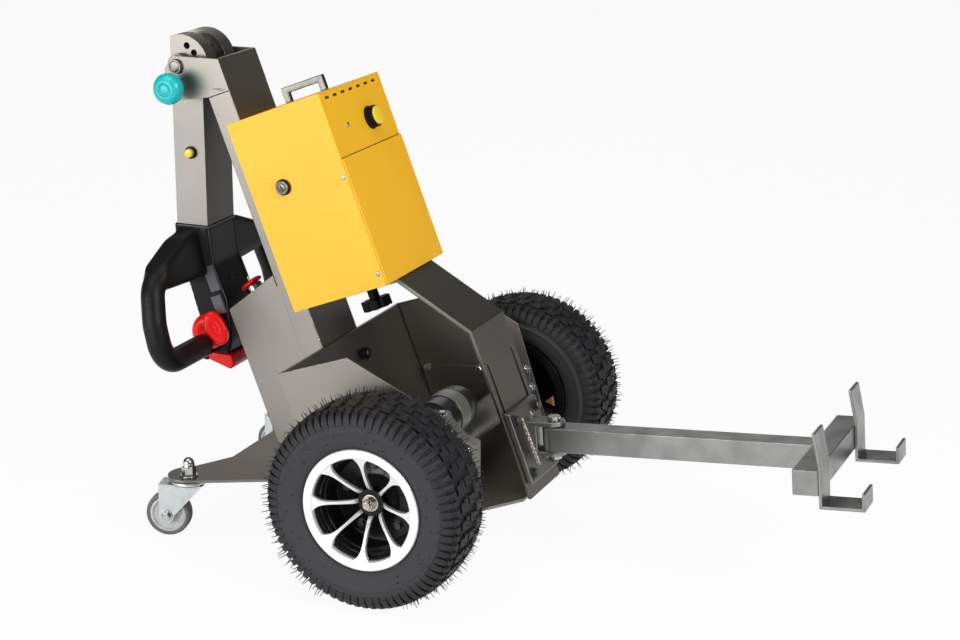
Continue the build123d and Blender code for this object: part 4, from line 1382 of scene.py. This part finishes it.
@dataclass
class StopButton:
    """The red mushroom on the rear housing.

    Attributes:
        corner: The housing's rear top corner, X and Z.
        slope: Slope of the housing's top in degrees.
        back: Distance of the button from that corner.
    """

    corner: tuple[float, float] = (-383.4, 361.7)
    slope: float = 39.8
    back: float = 27.0

    def build(self) -> None:
        """Stacks base, collar, neck and mushroom."""
        piece = Piece("stop_mushroom", RED, BRIGHT, BLACK)
        turn = math.radians(self.slope)
        x, z = self.corner
        foot = (x + self.back * math.cos(turn), 0, z + self.back * math.sin(turn))
        place = facing(foot, (-math.sin(turn), 0, math.cos(turn)))
        base = ((0.2, 0.0), (0.2, 17.0), (3.2, 17.0), (4.2, 15.8), (4.2, 0.0))
        collar = ((4.2, 14.6), (12.4, 14.6), (13.2, 13.8), (13.2, 0.0))
        neck = ((10.4, 10.6), (16.0, 11.6))
        cap = (
            (15.6, 0.0), (15.6, 18.6), (16.6, 20.0), (18.4, 20.0), (21.0, 18.2), (22.4, 14.0), (22.9, 8.0),
            (23.0, 0.0),
        )
        piece.turned(base, 44, place, 2)
        piece.turned(collar, 44, place, 1)
        piece.turned(neck, 40, place)
        piece.turned(cap, 52, place)
        piece.finish(Body.CHASSIS, "stop_button")


@dataclass
class Tiller:
    """The hanging tiller with its moulded head.

    Attributes:
        half: Half the tube's width.
        foot: Height of the tube's foot.
        voxel: Grid of the moulded head in metres.
        edge: Out and drop of the corners of the head's front edge.
        switches: Out, drop and length of the side switches.
        lips: Out, Y and size of the lip's three sides.
        push: Out and height over the foot of the yellow button.
    """

    half: float = 45.0
    foot: float = 497.0
    voxel: float = 0.0034
    edge: Line = ((38.6, 3.0), (45.4, 66.0), (69.4, 125.0), (74.0, 176.0))
    switches: tuple[Point, ...] = ((44.0, 90.0, 44.0), (56.0, 134.0, 32.0))
    lips: tuple[tuple[float, float, Point], ...] = (
        (9.0, 46.6, (58.0, 1.8, 3.0)), (9.0, -46.6, (58.0, 1.8, 3.0)), (38.4, 0.0, (2.2, 94.0, 3.0)),
    )
    push: tuple[float, float] = (12.0, 123.0)

    def hung(self, out: float, y: float, drop: float) -> Point:
        """A point from the pivot's X and the tube's foot."""
        return PIVOT.x + out, y, self.foot - GAP - drop

    def build(self) -> None:
        """Makes head, throttles, switches and buttons."""
        self.head()
        self.panel()
        for side in Side:
            self.throttle(side)
        self.belly()
        self.buttons()

    def head(self) -> None:
        """Moulds the head from a copy of its solid."""
        bm = copied("tiller_head")
        mesh = bpy.data.meshes.new("tiller_moulding")
        bm.to_mesh(mesh)
        bm.free()
        piece = link("tiller_moulding", mesh, (BLACK,), 180.0)
        skin = piece.modifiers.new("skin", "REMESH")
        skin.mode = "VOXEL"
        skin.voxel_size = self.voxel
        skin.use_smooth_shade = True
        ease = piece.modifiers.new("ease", "SMOOTH")
        ease.factor = 0.5
        ease.iterations = 9
        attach(piece, Body.TILLER.value)
        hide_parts("tiller_head")
        LOG.info("%s on %s", piece.name, Body.TILLER.value)

    def panel(self) -> None:
        """Adds the trim lines, the side switches, the lip round the top and a ring on the front."""
        trim = Piece("tiller_trim", TRIM, SWITCH)
        flank, switch = 44.6, 47.0
        for side in Side:
            corners = [Vector(self.hung(out, side.value * flank, drop)) for out, drop in self.edge]
            for start, end in zip(corners, corners[1:]):
                run = end - start
                trim.block((1.6, 2.0, run.length + 0.8), facing((start + end) / 2, run))
            tilt = about("Z", -22.0 * side.value)
            for out, drop, tall in self.switches:
                place = facing(self.hung(out, side.value * switch, drop), side.axis)
                trim.block((19.0, tall, 5.0), place @ tilt, 1)
        for out, y, size in self.lips:
            trim.block(size, moved(*self.hung(out, y, 2.4)))
        ring = ((0.0, 4.2), (1.2, 4.0), (1.2, 2.6), (0.4, 2.4))
        trim.turned(ring, 24, facing(self.hung(57.0, 0.0, 95.0), (0.93, 0, 0.37)))
        trim.finish(Body.TILLER, bevel=0.8)

    def throttle(self, side: Side) -> None:
        """Makes a thumb throttle: a red bowl with a flat leaf on it.

        Args:
            side: The side of the head.
        """
        piece = Piece(f"thumb_throttle_{side.word}", RED)
        place = facing(self.hung(42.0, side.value * 46.3, 179.0), side.axis)
        bowl = (
            (0.0, 0.0), (0.0, 26.0), (3.0, 29.6), (9.0, 31.0), (15.0, 30.6), (21.0, 28.4), (25.0, 25.0),
            (26.6, 21.0), (26.6, 17.0), (24.6, 12.0), (23.4, 6.0), (23.0, 0.0),
        )
        leaf = (
            (-13.0, 0.0), (-13.0, 24.0), (-11.0, 27.6), (9.0, 27.6), (12.0, 26.0), (13.4, 22.0), (13.0, 12.0),
            (12.2, 0.0),
        )
        swing = about("Z", -28.0 * side.value) @ moved(17.0, 0, 14.0)
        flat = about("Y", 24.0) @ Matrix.Diagonal((0.62, 1.1, 1.0, 1.0))
        piece.turned(bowl, 56, place)
        piece.turned(leaf, 40, place @ swing @ flat)
        piece.finish(Body.TILLER, f"throttle_{side.word}", sharp=50.0)

    def belly(self) -> None:
        """Rounds the belly button and caps its rear end in black."""
        rounded_copy("belly_button", RED, 4.0)
        cap = Piece("belly_cap", BLACK)
        cap.block((11.0, 86.0, 15.0), moved(*self.hung(24.0, 0.0, 229.0)))
        cap.finish(Body.TILLER, bevel=3.0)

    def buttons(self) -> None:
        """Makes the yellow button with its bezel."""
        piece = Piece("tiller_push", YELLOW_CAP, BLACK)
        out, high = self.push
        place = facing((PIVOT.x + out, -self.half - GAP, self.foot + high), NEAR)
        bezel = ((0.0, 0.0), (0.0, 10.4), (3.4, 10.4), (4.6, 9.4), (4.6, 0.0))
        cap = ((4.6, 7.6), (9.6, 7.2), (10.8, 6.2), (11.2, 3.0), (11.2, 0.0))
        piece.turned(bezel, 36, place, 1)
        piece.turned(cap, 36, place)
        piece.finish(Body.TILLER, "tiller_button")


@dataclass
class DriveUnit:
    """The motor and the bolts of the drive.

    Attributes:
        motor: X and Z of the motor's axis.
        near: Y of its near end.
        far: Y of its far end.
        radius: Its radius.
        posts: Angles of its wire posts in degrees.
        plate: Outer face of the side plates.
        inner: X and Z of the side plates' bolts.
        flange: Radius of the flange's circle of bolts.
        studs: Bolts on that circle.
        bulkhead: The left bolt of the bulkhead.
        case: X and Z of the gear case's bolts.
        case_face: Near face of the gear case.
        tab: Middle of the rusty tab behind the left wheel.
    """

    motor: tuple[float, float] = (17.0, 233.0)
    near: float = -124.7
    far: float = -20.0
    radius: float = 37.5
    posts: tuple[float, ...] = (-35.0, -75.0)
    plate: float = 223.5
    inner: Line = ((-146.0, 207.0), (-48.0, 216.0), (39.0, 225.0), (49.0, 194.0))
    flange: float = 39.0
    studs: int = 6
    bulkhead: Point = (-183.5, 45.0, 278.0)
    case: Line = ((-36.0, 176.0), (-22.0, 236.0), (40.0, 250.0), (92.0, 210.0), (92.0, 162.0), (52.0, 134.0))
    case_face: float = -157.2
    tab: Point = (84.0, 227.0, 172.0)

    def build(self) -> None:
        """Makes the motor and the frame's bolts."""
        piece = Piece("motor_dressed", BLACK_STEEL, BAND, BRIGHT)
        place = facing((self.motor[0], self.near, self.motor[1]), FAR)
        long, full = self.far - self.near, self.radius
        shell = (
            (0.0, 0.0), (0.0, full - 3), (1.0, full - 2), (34.0, full - 2), (34.6, full - 1),
            (35.0, full - 0.4),
        )
        band = ((34.6, full - 1), (35.4, full), (68.6, full), (69.4, full - 1))
        rear = (
            (69.0, full - 1), (69.6, full - 3.4), (72.0, full - 3.4), (72.8, full - 1), (94.0, full - 1.2),
            (100.0, full - 3.5), (103.0, full - 8), (long, full - 14), (long, 9.0), (long + 2.0, 8.0),
            (long + 2.0, 0.0),
        )
        for line, slot in ((shell, 0), (band, 1), (rear, 0)):
            piece.turned(line, 72, place, slot)
        for degrees in self.posts:
            swing = place @ about("Z", degrees)
            post = swing @ Vector((full - 3.0, 0, 97.0))
            out = swing.to_3x3() @ Vector((1.0, 0, 0.25))
            piece.bolt(post, out, 5.2, 2)
            piece.cone(2.4, 2.4, 15.0, facing(post, out), 14, 2)
        piece.finish(Body.CHASSIS, "motor", bevel=0.5)
        self.bolts()

    def bolts(self) -> None:
        """Sets the bolts of the plates, flanges, bulkhead and gear case, and the rusty tab."""
        bolts = Piece("frame_bolts", BLACK_STEEL, BRIGHT)
        sheet, proud = 4.0, 8.3
        for side in Side:
            for x, z in self.inner:
                bolts.bolt(side.at(x, self.plate - sheet, z), (0, -side.value, 0), 6.5, 1)
                bolts.button(side.at(x, self.plate, z), side.axis, 6.5)
            for stud in range(self.studs):
                angle = math.tau * (stud + 0.5) / self.studs
                x, z = self.flange * math.cos(angle), AXLE_HIGH + self.flange * math.sin(angle)
                bolts.bolt(side.at(x, self.plate + proud, z), side.axis, 5.5, 1)
        for side in (Side.LEFT, Side.RIGHT):
            bolts.bolt(side.at(*self.bulkhead), LEAN_OUT, 9.0)
        for x, z in self.case:
            bolts.bolt((x, self.case_face, z), NEAR, 4.8, 1)
        bolts.bolt((44.0, self.case_face + 8.0, 258.8), UP, 6.5, 1)
        bolts.finish(Body.CHASSIS, bevel=0.4)
        tab = Piece("bearing_tab", RUST)
        tab.cone(12.0, 8.0, 6.0, moved(*self.tab) @ about("Y", 20.0) @ about("X", 90.0), 3)
        tab.finish(Body.CHASSIS, bevel=1.0)


@dataclass
class TowGear:
    """Bolts and welds of the hitch and the tow arm.

    Attributes:
        bend: X and Z of the strap's bend.
        proud: The hitch plate's front, out from the strap.
        bolt: Distance of the hitch bolts from the middle.
        heights: Their heights.
        clevis: X and Z of the ends of the clevis's welds.
        ear: Distance of those welds from the middle.
        lanes: Offset and width of each run of weld.
        beam: Distance of the cross beam from the pin.
        half: Half the arm's width.
        hooks: Ends of the hooks' welds, from the middle.
    """

    bend: tuple[float, float] = (58.8, 375.0)
    proud: float = 9.3
    bolt: float = 44.0
    heights: tuple[float, float] = (226.0, 142.0)
    clevis: Line = ((124.0, 221.5), (154.0, 150.0))
    ear: float = 18.2
    lanes: Line = ((0.0, 4.6), (3.4, 3.4), (-3.4, 3.2))
    beam: float = 432.0
    half: float = 20.0
    hooks: tuple[float, float] = (134.0, 92.0)

    def build(self) -> None:
        """Sets the hitch bolts and the weld beads."""
        bolts = Piece("hitch_bolts", BLACK_STEEL)
        for side in Side:
            for z in self.heights:
                x = self.bend[0] + (self.bend[1] - z) * math.tan(LEAN) + self.proud / math.cos(LEAN)
                bolts.bolt(side.at(x, self.bolt, z), LEAN_OUT, 8.0)
        bolts.finish(Body.CHASSIS, bevel=0.4)
        clevis = Piece("clevis_welds", WELD)
        for side in Side:
            for lane, wide in self.lanes:
                clevis.bead(*(side.at(x + lane, self.ear, z) for x, z in self.clevis), wide)
        clevis.finish(Body.CHASSIS)
        self.arm_welds()

    def arm_welds(self) -> None:
        """Runs the weld round the arm's end and along the hooks."""
        welds = Piece("arm_welds", WELD)
        half, short, radius = self.half, self.half - 2.0, 2.0
        for y in (-half, half):
            welds.bead(hitched(self.beam, y, -short), hitched(self.beam, y, short), radius)
        for z in (-half, half):
            welds.bead(hitched(self.beam, -short, z), hitched(self.beam, short, z), radius)
        for side in Side:
            for z in (-half, half):
                ends = (hitched(self.beam + 2 * half, side.value * end, z) for end in self.hooks)
                welds.bead(*ends, radius)
        welds.finish(Body.TOW_ARM)


@dataclass
class Studio:
    """Pale floor, soft lamps and the photograph's camera.

    Attributes:
        eye: The camera's place.
        turn: Its azimuth in degrees.
        drop: How far it looks down in degrees.
        lens: Focal length for the film's width.
        film: The film's width.
        shift: Its small shift.
        ambient: Level of the world's light.
        pale: Colour of the floor under the lamps.
        glow: How much of the floor's white the eye and mirrors see.
        lamp_table: Name, place, width, height and watts of each lamp.
        aim: Where the lamps point.
    """

    eye: Point = (1380.45, -3160.66, 1377.32)
    turn: float = 22.8326
    drop: float = 16.2296
    lens: float = 82.559
    film: float = 36.0
    shift: tuple[float, float] = (-0.00243, -0.00227)
    ambient: float = 0.08
    pale: Colour = (0.8, 0.8, 0.8)
    glow: float = 0.94
    lamp_table: tuple[tuple[str, Point, float, float, float], ...] = (
        ("key_lamp", (-1.9, -3.9, 0.95), 3.4, 1.6, 122.0),
        ("fill_lamp", (3.2, -1.4, 2.4), 1.8, 1.8, 112.0),
        ("top_lamp", (-0.6, -1.0, 3.4), 2.4, 2.4, 42.0),
        ("back_lamp", (-1.6, 3.5, 1.9), 2.4, 1.6, 9.0),
    )
    aim: Point = (0.0, 0.0, 0.4)

    def build(self) -> None:
        """Lays the floor and sets lamps, world and camera."""
        scene = bpy.context.scene
        scene.view_settings.view_transform = "Standard"
        camera = bpy.data.cameras.new("photo_camera")
        camera.lens, camera.sensor_width = self.lens, self.film
        camera.shift_x, camera.shift_y = self.shift
        camera.clip_end = 200.0
        stand = bpy.data.objects.new("photo_camera", camera)
        stand.location = TO_ROW @ Vector(self.eye)
        stand.rotation_euler = (math.radians(90.0 - self.drop), 0.0, math.radians(self.turn))
        scene.collection.objects.link(stand)
        scene.camera = stand
        self.floor()
        self.lamps()
        world = scene.world or bpy.data.worlds.new("soft_world")
        scene.world = world
        world.use_nodes = True
        sky = world.node_tree.nodes["Background"]
        sky.inputs["Color"].default_value = (1.0, 1.0, 1.0, 1.0)
        sky.inputs["Strength"].default_value = self.ambient

    def floor(self, reach: float = 40.0, sunk: float = 0.0005) -> None:
        """Lays the pale floor, white to the eye but for the shadow.

        Args:
            reach: Half its width in metres.
            sunk: How far it lies under the wheels in metres.
        """
        bm = bmesh.new()
        bmesh.ops.create_grid(bm, x_segments=1, y_segments=1, size=reach)
        bmesh.ops.translate(bm, vec=(0, 0, -sunk), verts=bm.verts)
        mesh = bpy.data.meshes.new("pale_floor")
        bm.to_mesh(mesh)
        bm.free()
        shader = Shader("pale_floor")
        shader.set(Base_Color=self.pale, Roughness=0.8)
        path = shader.tree.nodes.new("ShaderNodeLightPath").outputs
        rays = ("Camera", "Glossy", "Transmission")
        eye, mirror, glass = (Sock(shader, path[f"Is {ray} Ray"]) for ray in rays)
        white = shader.node("ShaderNodeEmission", {}, {"Color": (1.0, 1.0, 1.0), "Strength": 1.0})
        lit = Sock(shader, shader.surface.outputs[0])
        share = self.glow * (eye + mirror + glass)
        mixed = shader.node("ShaderNodeMixShader", {}, {"Fac": share, 1: lit, 2: white})
        shader.feed(shader.tree.nodes["Material Output"].inputs["Surface"], mixed)
        mesh.materials.append(shader.material)
        floor = bpy.data.objects.new("pale_floor", mesh)
        bpy.context.scene.collection.objects.link(floor)

    def lamps(self) -> None:
        """Hangs the soft lamps round the machine."""
        for name, spot, wide, tall, power in self.lamp_table:
            lamp = bpy.data.lights.new(name, "AREA")
            lamp.shape = "RECTANGLE"
            lamp.size, lamp.size_y, lamp.energy = wide, tall, power
            holder = bpy.data.objects.new(name, lamp)
            holder.location = spot
            holder.visible_camera = False
            way = Vector(self.aim) - holder.location
            holder.rotation_euler = way.to_track_quat("-Z", "Y").to_euler()
            bpy.context.scene.collection.objects.link(holder)


def main() -> None:
    """Builds the studio and every sub-assembly in order."""
    logging.basicConfig(level=logging.INFO, format="%(message)s")
    Studio().build()
    SheetWork().build()
    for side in Side:
        DriveWheel(side).build()
        Caster(side).build()
    for assembly in (BatteryBox, MastTop, StopButton, Tiller, DriveUnit, TowGear):
        assembly().build()


if __name__ == "__main__":
    main()
